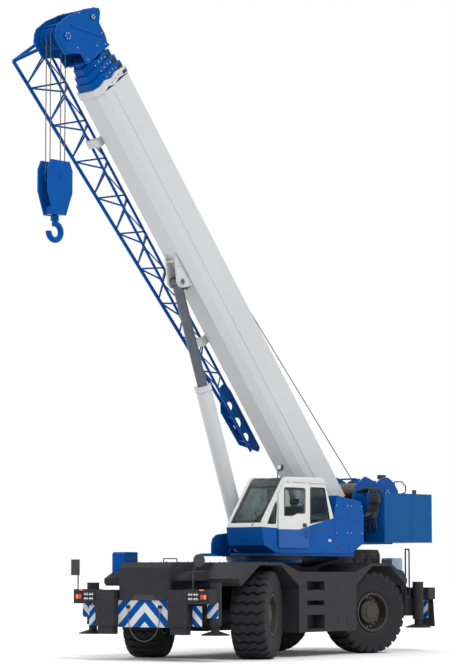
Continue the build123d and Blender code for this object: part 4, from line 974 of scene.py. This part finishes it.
class CRANE_OT_cab_inside(bpy.types.Operator):
    """Upholsters the seat and builds the steering column, wheel, levers and consoles"""

    bl_idname = "crane.cab_inside"
    bl_label = "Inside the cab"

    def execute(self, context):
        middle = (CAB_OUTER + CAB_INNER) / 2
        seat = Form()
        seat.box((0.15, 0.65), (middle - 0.25, middle + 0.25), (2.60, 2.72), bevel=0.045)
        seat.box((0.17, 0.63), (middle - 0.15, middle + 0.15), (2.71, 2.735), bevel=0.02)
        seat.box((0.06, 0.18), (middle - 0.24, middle + 0.24), (2.72, 3.18), bevel=0.045)
        seat.box((0.07, 0.155), (middle - 0.12, middle + 0.12), (3.22, 3.34), bevel=0.035)
        cloth = seat.piece("seat_cushions", finishes["seat cloth"], "upper", UPPER, smooth=60.0)
        plastic = Form()
        for y in (middle - 0.06, middle + 0.06):
            plastic.tube([(0.11, y, 3.14), (0.11, y, 3.25)], 0.008, sides=8)
        plastic.box((0.22, 0.58), (middle - 0.17, middle + 0.17), (2.245, 2.60), bevel=0.03)
        plastic.box((0.15, 0.76), (middle - 0.38, middle - 0.27), (2.245, 2.84), bevel=0.03)
        plastic.box((0.15, 0.70), (middle + 0.27, middle + 0.36), (2.60, 2.80), bevel=0.03)
        plastic.tube([(1.20, middle, 2.245), (1.16, middle, 2.66), (1.10, middle, 2.96)], 0.05,
                     sides=12)
        plastic.box((1.10, 1.22), (middle - 0.16, middle + 0.16), (2.80, 2.93), bevel=0.03)
        # The steering wheel: its rim and three spokes.
        radius, lean = 0.19, math.radians(-28)
        tilt = Matrix.Translation((1.09, middle, 2.965)) @ Matrix.Rotation(lean, 4, "Y")
        turns = [t * math.pi / 16 for t in range(32)]
        ring = [tilt @ Vector((radius * math.cos(t), radius * math.sin(t), 0)) for t in turns]
        plastic.tube(ring, 0.013, sides=8, closed=True)
        for turn in (0.5, 2.6, 4.7):
            rim = tilt @ Vector((radius * math.cos(turn), radius * math.sin(turn), 0))
            plastic.tube([tilt @ Vector((0, 0, -0.01)), rim], 0.009, sides=6)
        for y in (middle - 0.33, middle + 0.31):
            plastic.tube([(0.66, y, 2.80), (0.68, y, 2.95)], 0.008, sides=6)
            plastic.turned([(0, 0.0), (0.018, 0.01), (0.02, 0.035), (0, 0.055)],
                           Matrix.Translation((0.68, y, 2.94))
                           @ Matrix.Rotation(math.pi / 2, 4, "X"), sides=12)
        trim = plastic.piece("cab_controls", finishes["black plastic"], "upper", UPPER)
        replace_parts(trim, "cab_seat")
        return {"FINISHED"}


# ------------------------------------------------------------------ sling
SLING = (                        # across the board and up, from one eye to the other
    (0.385, 1.045), (0.385, 0.830), (0.335, 0.620), (0.220, 0.465), (0.075, 0.395),
    (-0.075, 0.395), (-0.220, 0.465), (-0.335, 0.620), (-0.385, 0.830), (-0.385, 1.045),
)
SLING_X = 4.56
SLING_THICK = 0.018


def spline_points(name, points):
    """The points of the smooth line that a row of control points gives."""
    curve = bpy.data.curves.new(name, "CURVE")
    curve.dimensions = "3D"
    curve.resolution_u = 12
    spline = curve.splines.new("NURBS")
    spline.points.add(len(points) - 1)
    for spot, point in zip(spline.points, points):
        spot.co = (*point, 1.0)
    spline.order_u = 3
    spline.use_endpoint_u = True
    item = bpy.data.objects.new(name, curve)
    bpy.context.scene.collection.objects.link(item)
    bpy.context.view_layer.update()
    data = bpy.data.meshes.new_from_object(item.evaluated_get(
        bpy.context.evaluated_depsgraph_get()))
    line = [vert.co.copy() for vert in data.vertices]
    bpy.data.objects.remove(item)
    bpy.data.meshes.remove(data)
    return line


class CRANE_OT_sling(bpy.types.Operator):
    """Hangs the laid wire sling in front of the warning board, with a ferrule at each end"""

    bl_idname = "crane.sling"
    bl_label = "Sling"

    def execute(self, context):
        line = spline_points("sling_line", [(SLING_X, y, z) for y, z in SLING])
        sling = grown("sling", line_host("sling_host", [line]), strand_tree(),
                      {"Diameter": SLING_THICK, "Lay": 0.09}, "rope wire", "carrier")
        ends = Form()
        for side in (1, -1):
            place = Matrix.Translation((SLING_X, side * SLING[0][0], SLING[0][1] - 0.045))
            place = place @ Matrix.Rotation(math.pi / 2, 4, "X")
            ends.turned([(0.011, -0.035), (0.0135, -0.03), (0.0135, 0.03), (0.011, 0.035)], place,
                        sides=20)
        ferrules = ends.piece("sling_ferrules", finishes["bright steel"], "carrier")
        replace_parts(sling, "tow_rope")
        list(SLING[0])
        return {"FINISHED"}


# ------------------------------------------------------------------ carrier trim
def bolt_pattern(name, radius, height):
    """A hexagon bolt head standing on its washer."""
    turn = Matrix.Rotation(math.pi / 2, 4, "X")
    form = Form().turned([(0, 0.0), (radius * 1.25, 0.0), (radius * 1.25, height * 0.25),
                          (0, height * 0.25)], turn, sides=12)
    form.turned([(0, height * 0.2), (radius, height * 0.2), (radius, height * 0.85),
                 (radius * 0.8, height), (0, height)], turn, sides=6)
    return pattern_object(name, form)


def louvres(form, x_range, y_range, z_range, count, out):
    """Slats one above the other, each leaning out of its frame along X or Y."""
    low, high = min(z_range), max(z_range)
    pitch = (high - low) / count
    for i in range(count):
        z = low + pitch * (i + 0.5)
        if out == "X":
            form.slab([(x_range[0], z + pitch * 0.3), (x_range[1], z - pitch * 0.1),
                       (x_range[1], z - pitch * 0.22), (x_range[0], z + pitch * 0.18)],
                      min(y_range), max(y_range), axis="Y")
        else:
            form.slab([(y_range[0], z + pitch * 0.3), (y_range[1], z - pitch * 0.1),
                       (y_range[1], z - pitch * 0.22), (y_range[0], z + pitch * 0.18)],
                      min(x_range), max(x_range), axis="X")


class CRANE_OT_carrier_trim(bpy.types.Operator):
    """Adds grilles, step treads, latches, hatches, bolts and plates to the carrier"""

    bl_idname = "crane.carrier_trim"
    bl_label = "Carrier trim"

    def execute(self, context):
        dark, paint, bolts = Form(), Form(), []
        # Black sheet on the hood's face above the warning board: painted shade of the recess there.
        dark.slab([(-0.30, 1.215), (0.30, 1.215), (0.23, 1.32), (-0.23, 1.32)], 4.555, 4.562,
                  axis="X")
        # Grilles along both sides of the engine hood, and its latches; the dark panel behind each
        # grille's slats is painted shade of its opening.
        for side in (1, -1):
            for x in (-2.75, -3.3, -3.85):
                dark.box((x - 0.2, x + 0.2), (side * 0.598, side * 0.604), (2.0, 2.2), bevel=0.003)
                louvres(paint, (x - 0.19, x + 0.19), (side * 0.603, side * 0.62), (2.01, 2.19), 5,
                        "Y")
            for x in (-3.02, -3.58):
                paint.box((x - 0.03, x + 0.03), (side * 0.599, side * 0.615), (2.02, 2.1),
                          bevel=0.006)
        # Treads in the step pockets, and over each pocket's back wall a dark sheet of painted shade.
        for side in (1, -1):
            for low, high in ((0.57, 0.88), (1.06, 1.18), (1.38, 1.58)):
                dark.box((0.165, 0.895), (side * 1.392, side * 1.398), (low + 0.004, high - 0.004))
                paint.box((0.17, 0.89), (side * 1.50, side * 1.645), (low + 0.001, low + 0.022),
                          bevel=0.005)
                for i in range(12):
                    x = 0.20 + 0.06 * i
                    paint.box((x - 0.008, x + 0.008), (side * 1.51, side * 1.635),
                              (low + 0.020, low + 0.027))
            # Seams of the skirt's doors, and their hinges.
            for x in (-1.16, -0.5, 0.12, 0.94, 1.17):
                dark.box((x - 0.003, x + 0.003), (side * 1.649, side * 1.6515), (0.55, 1.72))
            for x in (-0.46, -0.82):
                for z in (0.75, 1.5):
                    paint.box((x - 0.03, x + 0.03), (side * 1.649, side * 1.656),
                              (z - 0.05, z + 0.05), bevel=0.004)
            # Bolts on the bumper's posts and along the fenders' edges.
            for y in (0.70, 0.89, 1.06):
                for z in (0.76, 1.02, 1.36):
                    bolts.append(((4.68, side * y, z), (1, 0, 0)))
            for axle in (2.375, -2.375):
                for x in (-0.36, 0.0, 0.36):
                    bolts.append(((axle + x, side * 1.65, 1.94), (0, side, 0)))
            for x in (-1.0, -0.3, 0.5, 1.05):
                bolts.append(((x, side * 1.65, 1.68), (0, side, 0)))
        # Hatches on the decks and the front hood.
        for x, y in ((3.1, 0.0), (1.9, 0.0), (2.4, 1.15), (2.4, -1.15), (-2.4, 1.15),
                     (-2.4, -1.15)):
            paint.box((x - 0.27, x + 0.27), (y - 0.3, y + 0.3), (1.969, 1.978), bevel=0.004)
            dark.box((x - 0.05, x + 0.05), (y + 0.22, y + 0.25), (1.977, 1.984), bevel=0.003)
            for dx in (-0.24, 0.24):
                for dy in (-0.27, 0.27):
                    bolts.append(((x + dx, y + dy, 1.978), (0, 0, 1)))
        # Black parts and painted shade together: covers, handles and seams, and the dark sheets in
        # the hood's recess, behind the grilles and in the step pockets.
        dark.piece("carrier_covers", finishes["black plastic"], "carrier")
        paint.piece("carrier_fittings", finishes["chassis paint"], "carrier")
        grown("carrier_bolts", spots("carrier_spots", bolts), spot_tree(),
              {"Shape": bolt_pattern("carrier_bolt", 0.013, 0.012)}, "wheel paint", "carrier")
        glass = Form().box((4.6065, 4.6085), (-1.73, -1.55), (1.715, 2.025), bevel=0.0006)
        glass.turned([(0, 0.0), (0.118, 0.0), (0.116, 0.003), (0, 0.006)],
                     Matrix.Translation((4.6085, 1.36, 2.0)) @ Matrix.Rotation(math.pi / 2, 4, "Z"),
                     sides=32)
        glass.piece("mirror_glass", finishes["mirror glass"], "carrier")
        return {"FINISHED"}


# ------------------------------------------------------------------ upper works trim
class CRANE_OT_upper_trim(bpy.types.Operator):
    """Adds the valves, hoses, work lamp, plates, camera, guard loops and caps of the upper works"""

    bl_idname = "crane.upper_trim"
    bl_label = "Upper works trim"

    def execute(self, context):
        dark, paint, pale, hoses, steel, bolts = Form(), Form(), Form(), Form(), Form(), []
        # Valve blocks on the face of the weight's left arm, and the hoses that hang from them.
        paint.box((-2.401, -2.388), (0.90, 1.38), (2.75, 3.50), bevel=0.004)
        for low, high, y0, y1 in ((3.28, 3.46, 1.08, 1.34), (3.10, 3.22, 1.0, 1.16)):
            dark.box((-2.39, -2.27), (y0, y1), (low, high), bevel=0.012)
            dark.box((-2.35, -2.29), (y0 + 0.03, y1 - 0.03), (high - 0.005, high + 0.03),
                     bevel=0.008)
        for i in range(6):
            y = 1.10 + 0.042 * i
            steel.turned([(0, 0.0), (0.015, 0.0), (0.015, 0.03), (0, 0.03)],
                         Matrix.Translation((-2.31, y, 3.285))
                         @ Matrix.Rotation(-math.pi / 2, 4, "X"), sides=6)
            low = 2.70 + 0.075 * ((i * 2) % 5)
            hoses.tube(bent([(-2.31, y, 3.28), (-2.29, y, 3.10),
                             (-2.25 + 0.015 * i, y + 0.01, 2.95), (-2.27, y - 0.02, low),
                             (-2.33, y - 0.14, low - 0.04),
                             (-2.36, 0.86, low + 0.02)], 0.12), sizes.hose / 2, sides=10)
        for i in range(3):
            y = 1.03 + 0.045 * i
            hoses.tube(bent([(-2.30, y, 3.12), (-2.20, y, 3.02), (-2.02, y - 0.06, 3.0),
                             (-1.80, y - 0.10, 3.06), (-1.57, y - 0.12, 3.02)], 0.10),
                       sizes.hose / 2, sides=10)
        for i in range(4):
            x = -2.52 - 0.11 * i
            dark.box((x - 0.035, x + 0.035), (0.90, 0.99), (3.518, 3.60 - 0.01 * i), bevel=0.008)
            hoses.tube(bent([(x, 0.92, 3.58), (x, 0.80, 3.64), (x, 0.60, 3.60), (x, 0.449, 3.55)],
                            0.08), sizes.hose / 2, sides=8)
        # Work lamp on a bent stalk over the cab's roof.
        dark.tube(bent([(0.66, 0.98, 3.77), (0.66, 0.98, 3.90), (0.58, 0.98, 3.95)], 0.05), 0.012,
                  sides=10)
        dark.box((0.535, 0.615), (0.915, 1.045), (3.945, 4.055), bevel=0.02)
        steel.box((0.612, 0.626), (0.922, 1.038), (3.952, 4.048), bevel=0.006)
        dark.tube(bent([(0.58, 0.98, 3.93), (0.58, 0.905, 3.94), (0.60, 0.905, 4.0)], 0.03), 0.008,
                  sides=8)
        dark.tube(bent([(0.58, 0.98, 3.93), (0.58, 1.055, 3.94), (0.60, 1.055, 4.0)], 0.03), 0.008,
                  sides=8)
        lens = Form().box((0.624, 0.632), (0.935, 1.025), (3.965, 4.035), bevel=0.004)
        # Blank plates, vents and handle slot on the tub.
        face = CAB_OUTER
        pale.box((0.90, 1.05), (face - 0.001, face + 0.003), (2.49, 2.565), bevel=0.001)
        pale.box((-0.50, -0.40), (face - 0.001, face + 0.003), (2.42, 2.475), bevel=0.001)
        dark.box((-0.40, 0.20), (face - 0.001, face + 0.002), (2.648, 2.664), bevel=0.001)
        dark.box((-0.80, -0.68), (face - 0.001, face + 0.002), (2.27, 2.33), bevel=0.001)
        for x in (-1.12, -1.30, -1.48):
            dark.box((x - 0.06, x + 0.06), (face - 0.001, face + 0.002), (2.98, 3.0), bevel=0.001)
        for points in (((-0.62, 2.95), (-1.52, 2.80)), ((-0.62, 2.30), (-0.62, 2.93)),
                       ((-1.10, 2.19), (-1.10, 3.34))):
            dark.tube([(x, face + 0.0005, z) for x, z in points], 0.003, sides=6)
        for x in (-0.68, -1.04, -1.16, -1.52):
            for z in (2.62, 3.2):
                bolts.append(((x, face, z), (0, 1, 0)))
        # Black band round the top of the slew ring: painted shade of the gap under the upper works,
        # where black hoses also darken it.
        inner, outer, low, high = 0.821, 0.834, 2.035, 2.113
        dark.turned([(inner, low), (outer, low), (outer, high), (inner, high), (inner, low)],
                    Matrix.Rotation(math.pi / 2, 4, "X"), sides=96)
        # Red shut-off knob on the cover's rear face.
        knob = Form().turned([(0, 0.0), (0.018, 0.0), (0.018, 0.04), (0.05, 0.045), (0.055, 0.06),
                              (0.05, 0.075), (0, 0.08)],
                             Matrix.Translation((-1.57, 0.92, 3.20)) @
                             Matrix.Rotation(math.pi / 2, 4, "Z"), sides=20)
        # Pin caps with their bolts at the boom's foot and the lift cylinder's foot.
        for side in (1, -1):
            outward = Matrix.Rotation(0.0 if side > 0 else math.pi, 4, "Z")
            for x, y, z, radius, count in ((-2.03, 0.466, 3.105, 0.125, 8),
                                           (-2.92, 0.456, 3.572, 0.085, 6),
                                           (-3.64, 0.456, 3.572, 0.085, 6)):
                place = Matrix.Translation((x, side * y, z)) @ outward
                paint.turned([(0, 0.0), (radius, 0.0), (radius, 0.010), (radius - 0.012, 0.016),
                              (0, 0.016)], place, sides=32)
                for k in range(count):
                    turn = 2 * math.pi * k / count
                    bolts.append(((x + (radius - 0.03) * math.cos(turn), side * (y + 0.016),
                                   z + (radius - 0.03) * math.sin(turn)), (0, side, 0)))
        # Camera on a bent pipe and two guard loops behind the second winch.
        dark.tube(bent([(-3.98, 0.0, 3.58), (-3.98, 0.0, 3.86), (-4.0, 0.0, 3.93)], 0.05), 0.014,
                  sides=10)
        dark.box((-4.10, -3.92), (-0.06, 0.06), (3.90, 4.0), bevel=0.012)
        for y in (-0.36, 0.36):
            dark.tube(bent([(-4.03, y, 3.56), (-4.03, y, 3.84), (-4.30, y, 3.84),
                            (-4.44, y, 3.74), (-4.44, y, 3.60), (-4.07, y, 3.52)], 0.06), 0.014,
                      sides=10)
        # Drum guards: a cross bar over each winch.
        for x, z in ((-2.62, 3.86), (-3.30, 3.82)):
            paint.tube([(x, -0.405, z), (x, 0.405, z)], 0.02, sides=12)
        # Weld beads where the weight's arms meet its slab.
        for side in (1, -1):
            dark.tube([(-3.35, side * 1.401, 2.45), (-3.35, side * 1.401, 3.505)], 0.004, sides=6)
        steel.piece("valve_fittings", finishes["bright steel"], "upper", UPPER)
        # Black parts and painted shade together: valve blocks, work lamp, vents, camera, guard loops
        # and weld beads, and the band of painted shade round the slew ring.
        dark.piece("upper_covers", finishes["black plastic"], "upper", UPPER)
        paint.piece("upper_fittings", finishes["blue enamel"], "upper", UPPER)
        pale.piece("upper_plates", finishes["pale enamel"], "upper", UPPER)
        hoses.piece("upper_hoses", finishes["hose rubber"], "upper", UPPER)
        lens.piece("work_lamp_lens", finishes["clear lens"], "upper", UPPER)
        knob.piece("shut_off_knob", finishes["red knob"], "upper", UPPER)
        grown("upper_bolts", spots("upper_spots", bolts), spot_tree(),
              {"Shape": bolt_pattern("upper_bolt", 0.012, 0.012)}, "bright steel", "upper", UPPER)
        return {"FINISHED"}


# ------------------------------------------------------------------ boom trim
SECTION_BODIES = ("boom", "boom_section_2", "boom_section_3", "boom_section_4")
COLLAR_START = 11.09             # where the base section's collar begins along the boom
COLLAR_PITCH = 0.156             # from one collar to the next with the boom closed
BOOM_HALF, BOOM_TOP, BOOM_SEAM = 0.376, 0.420, -0.150
STEP_DOWN = 0.036                # each section is smaller by this much all round
COLLAR_RIM = 0.022


class CRANE_OT_boom_trim(bpy.types.Operator):
    """Adds seams, rope guides, wear pads, adjusters, pin caps and the lift bracket's ribs"""

    bl_idname = "crane.boom_trim"
    bl_label = "Boom trim"

    def execute(self, context):
        bolt, tree = bolt_pattern("boom_bolt", 0.014, 0.014), spot_tree()
        base, covers, bolts = Form(), Form(), []
        for side in (1, -1):
            y = side * (BOOM_HALF + 0.0005)
            base.tube(bent([(0.30, y, 0.06), (0.62, y, 0.02), (0.95, y, BOOM_SEAM),
                            (10.98, y, BOOM_SEAM)], 0.25), 0.006, sides=6)
            # Gusset plates between the lift bracket and the boom's belly.
            for s in (6.52, 7.02):
                base.slab([(side * 0.158, -0.525), (side * 0.205, -0.527), (side * 0.165, -0.66),
                           (side * 0.158, -0.66)], s - 0.012, s + 0.012, axis="X")
            base.turned([(0, 0.0), (0.09, 0.0), (0.09, 0.012), (0.078, 0.018), (0, 0.018)],
                        Matrix.Translation((6.70, side * 0.160, -0.745)) @
                        Matrix.Rotation(0.0 if side > 0 else math.pi, 4, "Z"), sides=32)
            for k in range(6):
                turn = math.pi * k / 3
                bolts.append(((6.70 + 0.06 * math.cos(turn), side * 0.178,
                               -0.745 + 0.06 * math.sin(turn)), (0, side, 0)))
        for s in (6.44, 7.14):
            base.box((s - 0.012, s + 0.012), (-0.116, 0.116), (-0.64, -0.528), bevel=0.003)
        # Rope guides, a curled lug and the valve block on the boom's back.
        for s in (0.95, 4.9, 10.9):
            base.tube(bent([(s, -0.075, 0.415), (s, -0.075, 0.55), (s, 0.075, 0.55),
                            (s, 0.075, 0.415)], 0.04), 0.012, sides=10)
            base.box((s - 0.05, s + 0.05), (-0.11, 0.11), (0.418, 0.428), bevel=0.003)
        curl = [(11.03 + 0.05 * math.cos(t), 0.24, 0.495 + 0.05 * math.sin(t))
                for t in (math.radians(-80 + 15 * i) for i in range(20))]
        base.tube(curl, 0.013, sides=10)
        base.box((3.28, 3.56), (-0.10, 0.10), (0.417, 0.49), bevel=0.01)
        base.box((3.34, 3.50), (-0.06, 0.06), (0.485, 0.53), bevel=0.01)
        # The roller that carries the hoist rope, between its two ears.
        for y in (-0.075, 0.075):
            base.slab([(8.22, 0.418), (8.38, 0.418), (8.33, 0.50), (8.27, 0.50)],
                      y - 0.006, y + 0.006)
        covers.turned([(0.012, -0.068), (0.022, -0.066), (0.020, 0.0), (0.022, 0.066),
                       (0.012, 0.068)], Matrix.Translation((8.30, 0, 0.439)), sides=24)
        base.piece("boom_fittings", finishes["pale enamel"], "boom", BOOM)
        covers.piece("rope_roller", finishes["black plastic"], "boom", BOOM)
        grown("boom_bolts", spots("boom_spots", bolts), tree, {"Shape": bolt}, "bright steel",
              "boom", BOOM)
        for k, body in enumerate(SECTION_BODIES):
            self.dress_collar(k, body, bolt, tree)
        self.dress_head(bolt, tree)
        return {"FINISHED"}

    def dress_collar(self, k, body, bolt, tree):
        """Wear pads, adjusters and a rope guide on one section's collar."""
        start = COLLAR_START + k * COLLAR_PITCH
        half = BOOM_HALF - k * STEP_DOWN + COLLAR_RIM
        top = BOOM_TOP - k * STEP_DOWN + COLLAR_RIM
        pads, rods, bolts = Form(), Form(), []
        for side in (1, -1):
            pads.box((start + 0.04, start + 0.14), (side * (half - 0.11), side * (half - 0.02)),
                     (top - 0.001, top + 0.012), bevel=0.004)
            pads.box((start + 0.05, start + 0.12), (side * (half - 0.001), side * (half + 0.004)),
                     (top - 0.16, top - 0.03), bevel=0.002)
            for drop, ahead in ((0.20, 0.09), (0.30, 0.115), (0.42, 0.10), (0.55, 0.085)):
                bolts.append(((start + ahead, side * half, top - drop), (0, side, 0)))
            for y in (half - 0.085, half - 0.045):
                bolts.append(((start + 0.09, side * y, top + 0.012), (0, 0, 1)))
        rods.tube(bent([(start + 0.09, -0.06, top - 0.002), (start + 0.09, -0.06, 0.53),
                        (start + 0.09, 0.06, 0.53), (start + 0.09, 0.06, top - 0.002)], 0.03),
                  0.008, sides=8)
        pads.piece(f"collar_pads_{k + 1}", finishes["black rubber"], body, BOOM)
        rods.piece(f"collar_guide_{k + 1}", finishes["bright steel"], body, BOOM)
        grown(f"collar_bolts_{k + 1}", spots("collar_spots", bolts), tree, {"Shape": bolt},
              "bright steel", body, BOOM)

    def dress_head(self, bolt, tree):
        """Pin caps, bolts and stiffening bars on the boom's head."""
        caps, bolts = Form(), []
        for side in (1, -1):
            outward = Matrix.Rotation(0.0 if side > 0 else math.pi, 4, "Z")
            for s, w, y, radius in ((HEAD_PIN[0], HEAD_PIN[1], 0.343, 0.085),
                                    (IDLER_PIN[0], IDLER_PIN[1], 0.343, 0.06)):
                caps.turned([(0, 0.0), (radius, 0.0), (radius, 0.006), (radius - 0.01, 0.012),
                             (0, 0.012)], Matrix.Translation((s, side * y, w)) @ outward, sides=28)
                for k in range(6):
                    turn = math.pi * k / 3
                    bolts.append(((s + (radius - 0.022) * math.cos(turn), side * (y + 0.012),
                                   w + (radius - 0.022) * math.sin(turn)), (0, side, 0)))
            edge = [(12.05, 0.385), (12.30, 0.385), (12.46, 0.53), (12.53, 0.545)]
            caps.tube([(s, side * 0.331, w) for s, w in edge], 0.009, sides=8)
            edge = [(12.15, -0.60), (12.29, -0.80), (12.66, -0.80), (12.82, -0.62), (12.82, -0.32)]
            caps.tube([(s, side * 0.331, w) for s, w in edge], 0.009, sides=8)
            for s, w in ((11.86, 0.28), (11.86, -0.36), (11.96, 0.05), (12.10, 0.33),
                         (12.20, -0.46), (12.64, 0.44), (12.74, 0.02)):
                bolts.append(((s, side * 0.33, w), (0, side, 0)))
        caps.piece("head_caps", finishes["blue enamel"], "boom_head", BOOM)
        grown("head_bolts", spots("head_spots", bolts), tree, {"Shape": bolt}, "bright steel",
              "boom_head", BOOM)


# ------------------------------------------------------------------ ropes
def arc(centre, radius, start, end, steps=14):
    """Points on a circle across the boom or falls, between two angles in degrees."""
    x, y, z = centre
    turns = [math.radians(start + (end - start) * i / steps) for i in range(steps + 1)]
    return [(x + radius * math.cos(t), y, z + radius * math.sin(t)) for t in turns]


HEAD_PIN = (12.53, -0.56)        # along the boom from its foot pin, and above its line
IDLER_PIN = (12.49, 0.30)
SHEAVE_GROOVE = 0.201            # radius at which a rope lies in a main sheave
IDLER_GROOVE = 0.121
FALL_YS = (-0.065, 0.065)
DRUMS = (("main", -2.92), ("aux", -3.64))
DRUM_HEIGHT = 3.572
DRUM_RADIUS = 0.190
DRUM_HALF = 0.360
ROPE_ROLLER = (8.30, 0.471)      # where the hoist rope meets the boom's roller
ROPE_BAR = (12.374, 0.482)       # where it bends over the head's cross bar
HEAD_START = 11.72


class CRANE_OT_ropes(bpy.types.Operator):
    """Lays the drums' wraps, the falls, the rope over the sheaves and along the boom's back"""

    bl_idname = "crane.ropes"
    bl_label = "Ropes"

    def execute(self, context):
        tree = strand_tree()
        values = {"Diameter": sizes.rope, "Lay": sizes.rope_lay}
        drop = -(FALLS.translation.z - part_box("hook_falls")[0].z)
        falls = []
        for y in FALL_YS:
            under = arc((0, y, drop), SHEAVE_GROOVE, 0, -180)
            falls.append([(SHEAVE_GROOVE, y, 0), *under, (-SHEAVE_GROOVE, y, 0)])
        item = grown("falls", line_host("fall_lines", falls), tree, values, "rope wire",
                     "hook_block", FALLS)
        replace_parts(item, "hook_falls")
        self.wind_drums()
        self.lay_hoist_rope(tree, values)
        return {"FINISHED"}

    def wind_drums(self):
        """One layer of rope wound on each winch."""
        radius = DRUM_RADIUS + sizes.rope / 2
        turns = int(2 * DRUM_HALF / sizes.rope)
        for name, x in DRUMS:
            helix = [(x + radius * math.cos(t), -DRUM_HALF + sizes.rope * t / (2 * math.pi),
                      DRUM_HEIGHT + radius * math.sin(t))
                     for t in (2 * math.pi * i / 36 for i in range(36 * turns))]
            wraps = Form().tube(helix, sizes.rope / 2, sides=6)
            wraps.piece(f"drum_wraps_{name}", finishes["rope wire"], f"winch_{name}", UPPER, 60.0)

    def lay_hoist_rope(self, tree, values):
        """The rope from the main winch along the boom, and over the head to the falls."""
        drum = UPPER @ Vector((DRUMS[0][1], 0, DRUM_HEIGHT))
        roller = BOOM @ Vector((ROPE_ROLLER[0], 0, ROPE_ROLLER[1]))
        along = (roller - drum).normalized()
        start = drum + along.cross(left) * -(DRUM_RADIUS + sizes.rope * 1.5)
        if start.z < drum.z:
            start = drum + along.cross(left) * (DRUM_RADIUS + sizes.rope * 1.5)
        end = BOOM @ Vector((HEAD_START - 0.02, 0, ROPE_BAR[1] - 0.003))
        back = grown("hoist_rope", line_host("hoist_line", [[start, roller, end]]), tree, values,
                     "rope wire", None)
        tuple(start.lerp(roller, sizes.rope_lead))
        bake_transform(back)
        lines = [[(HEAD_START, 0.0, ROPE_BAR[1] - 0.003), (ROPE_BAR[0] - 0.01, 0.03, ROPE_BAR[1]),
                  (ROPE_BAR[0] + 0.012, 0.035, ROPE_BAR[1] - 0.003),
                  *arc((IDLER_PIN[0], 0.06, IDLER_PIN[1]), IDLER_GROOVE, 75, 8, 6),
                  *arc((HEAD_PIN[0], 0.065, HEAD_PIN[1]), SHEAVE_GROOVE, 8, -50, 6)]]
        lean = math.degrees(math.atan2(BOOM.col[0].z, BOOM.col[0].xy.length))
        for y in FALL_YS:
            lines.append(arc((HEAD_PIN[0], y, HEAD_PIN[1]), SHEAVE_GROOVE, 180 - lean, -lean, 20))
        over = grown("head_ropes", line_host("head_lines", lines), tree, values, "rope wire",
                     "boom_head", BOOM)


# ------------------------------------------------------------------ stage
class CRANE_OT_stage(bpy.types.Operator):
    """Sets the pale floor, the soft studio light and the camera"""

    bl_idname = "crane.stage"
    bl_label = "Stage"

    def execute(self, context):
        floor = Form().slab([(400 * math.cos(t), 400 * math.sin(t))
                             for t in (math.pi * i / 24 for i in range(48))], -0.02, 0.0, axis="Z")
        bmesh.ops.recalc_face_normals(floor.mesh, faces=floor.mesh.faces)
        data = bpy.data.meshes.new("floor")
        floor.mesh.to_mesh(data)
        floor.mesh.free()
        data.materials.append(surface("pale studio floor", "#F4F4F4", "#F8F8F8", 8.0, 0.9, 0.02,
                                      0.4, 0.0001))
        item = bpy.data.objects.new("floor", data)
        context.scene.collection.objects.link(item)
        world = bpy.data.worlds.new("studio")
        world.use_nodes = True
        world.node_tree.nodes["Background"].inputs["Color"].default_value = (1.0, 1.0, 1.0, 1.0)
        world.node_tree.nodes["Background"].inputs["Strength"].default_value = 1.0
        context.scene.world = world
        for name, power, spread, bearing, height in (("key", 1.3, 14, 62, 48),
                                                     ("fill", 0.3, 40, -30, 25)):
            lamp = bpy.data.lights.new(name, "SUN")
            lamp.energy, lamp.angle = power, math.radians(spread)
            item = bpy.data.objects.new(name, lamp)
            b, h = math.radians(bearing), math.radians(height)
            way = Vector((math.cos(b) * math.cos(h), math.sin(b) * math.cos(h), math.sin(h)))
            item.rotation_euler = way.to_track_quat("Z", "Y").to_euler()
            context.scene.collection.objects.link(item)
        camera = bpy.data.cameras.new("camera")
        camera.lens = sizes.camera_reach * camera.sensor_width
        camera.clip_end = 1000.0
        eye = bpy.data.objects.new("camera", camera)
        bearing, turn, tilt = sizes.camera_bearing, sizes.camera_turn, sizes.camera_tilt
        eye.location = (sizes.camera_distance * math.cos(bearing),
                        sizes.camera_distance * math.sin(bearing), sizes.camera_height)
        way = Vector((-math.cos(turn) * math.cos(tilt), -math.sin(turn) * math.cos(tilt),
                      math.sin(tilt)))
        eye.rotation_euler = way.to_track_quat("-Z", "Y").to_euler()
        context.scene.collection.objects.link(eye)
        context.scene.camera = eye
        context.scene.view_settings.view_transform = "Standard"
        return {"FINISHED"}


# ------------------------------------------------------------------ the add-on
STEPS = (CRANE_OT_paint, CRANE_OT_sling, CRANE_OT_tyres, CRANE_OT_wheel_trim, CRANE_OT_boards,
         CRANE_OT_lamps, CRANE_OT_carrier_trim, CRANE_OT_cab_trim, CRANE_OT_cab_inside,
         CRANE_OT_upper_trim, CRANE_OT_boom_trim, CRANE_OT_ropes, CRANE_OT_stage)


class CRANE_PT_panel(bpy.types.Panel):
    """Lists the crane's settings and the steps that dress it"""

    bl_label = "Rough-terrain crane"
    bl_space_type = "VIEW_3D"
    bl_region_type = "UI"
    bl_category = "Crane"

    def draw(self, context):
        for group in (context.scene.crane_colours, context.scene.crane_sizes):
            box = self.layout.box()
            for name in group.__annotations__:
                box.prop(group, name)
        for step in STEPS:
            self.layout.operator(step.bl_idname)


CLASSES = (CraneColours, CraneSizes, *STEPS, CRANE_PT_panel)


def register():
    """Registers every class and hangs the settings on the scene."""
    for item in CLASSES:
        bpy.utils.register_class(item)
    bpy.types.Scene.crane_colours = PointerProperty(type=CraneColours)
    bpy.types.Scene.crane_sizes = PointerProperty(type=CraneSizes)


def unregister():
    """Takes the settings off the scene and every class out."""
    del bpy.types.Scene.crane_colours
    del bpy.types.Scene.crane_sizes
    for item in reversed(CLASSES):
        bpy.utils.unregister_class(item)


def main():
    """Registers the add-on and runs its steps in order."""
    global colours, sizes
    register()
    colours = bpy.context.scene.crane_colours
    sizes = bpy.context.scene.crane_sizes
    for step in STEPS:
        group, name = step.bl_idname.split(".")
        getattr(getattr(bpy.ops, group), name)()


if __name__ == "__main__":
    main()
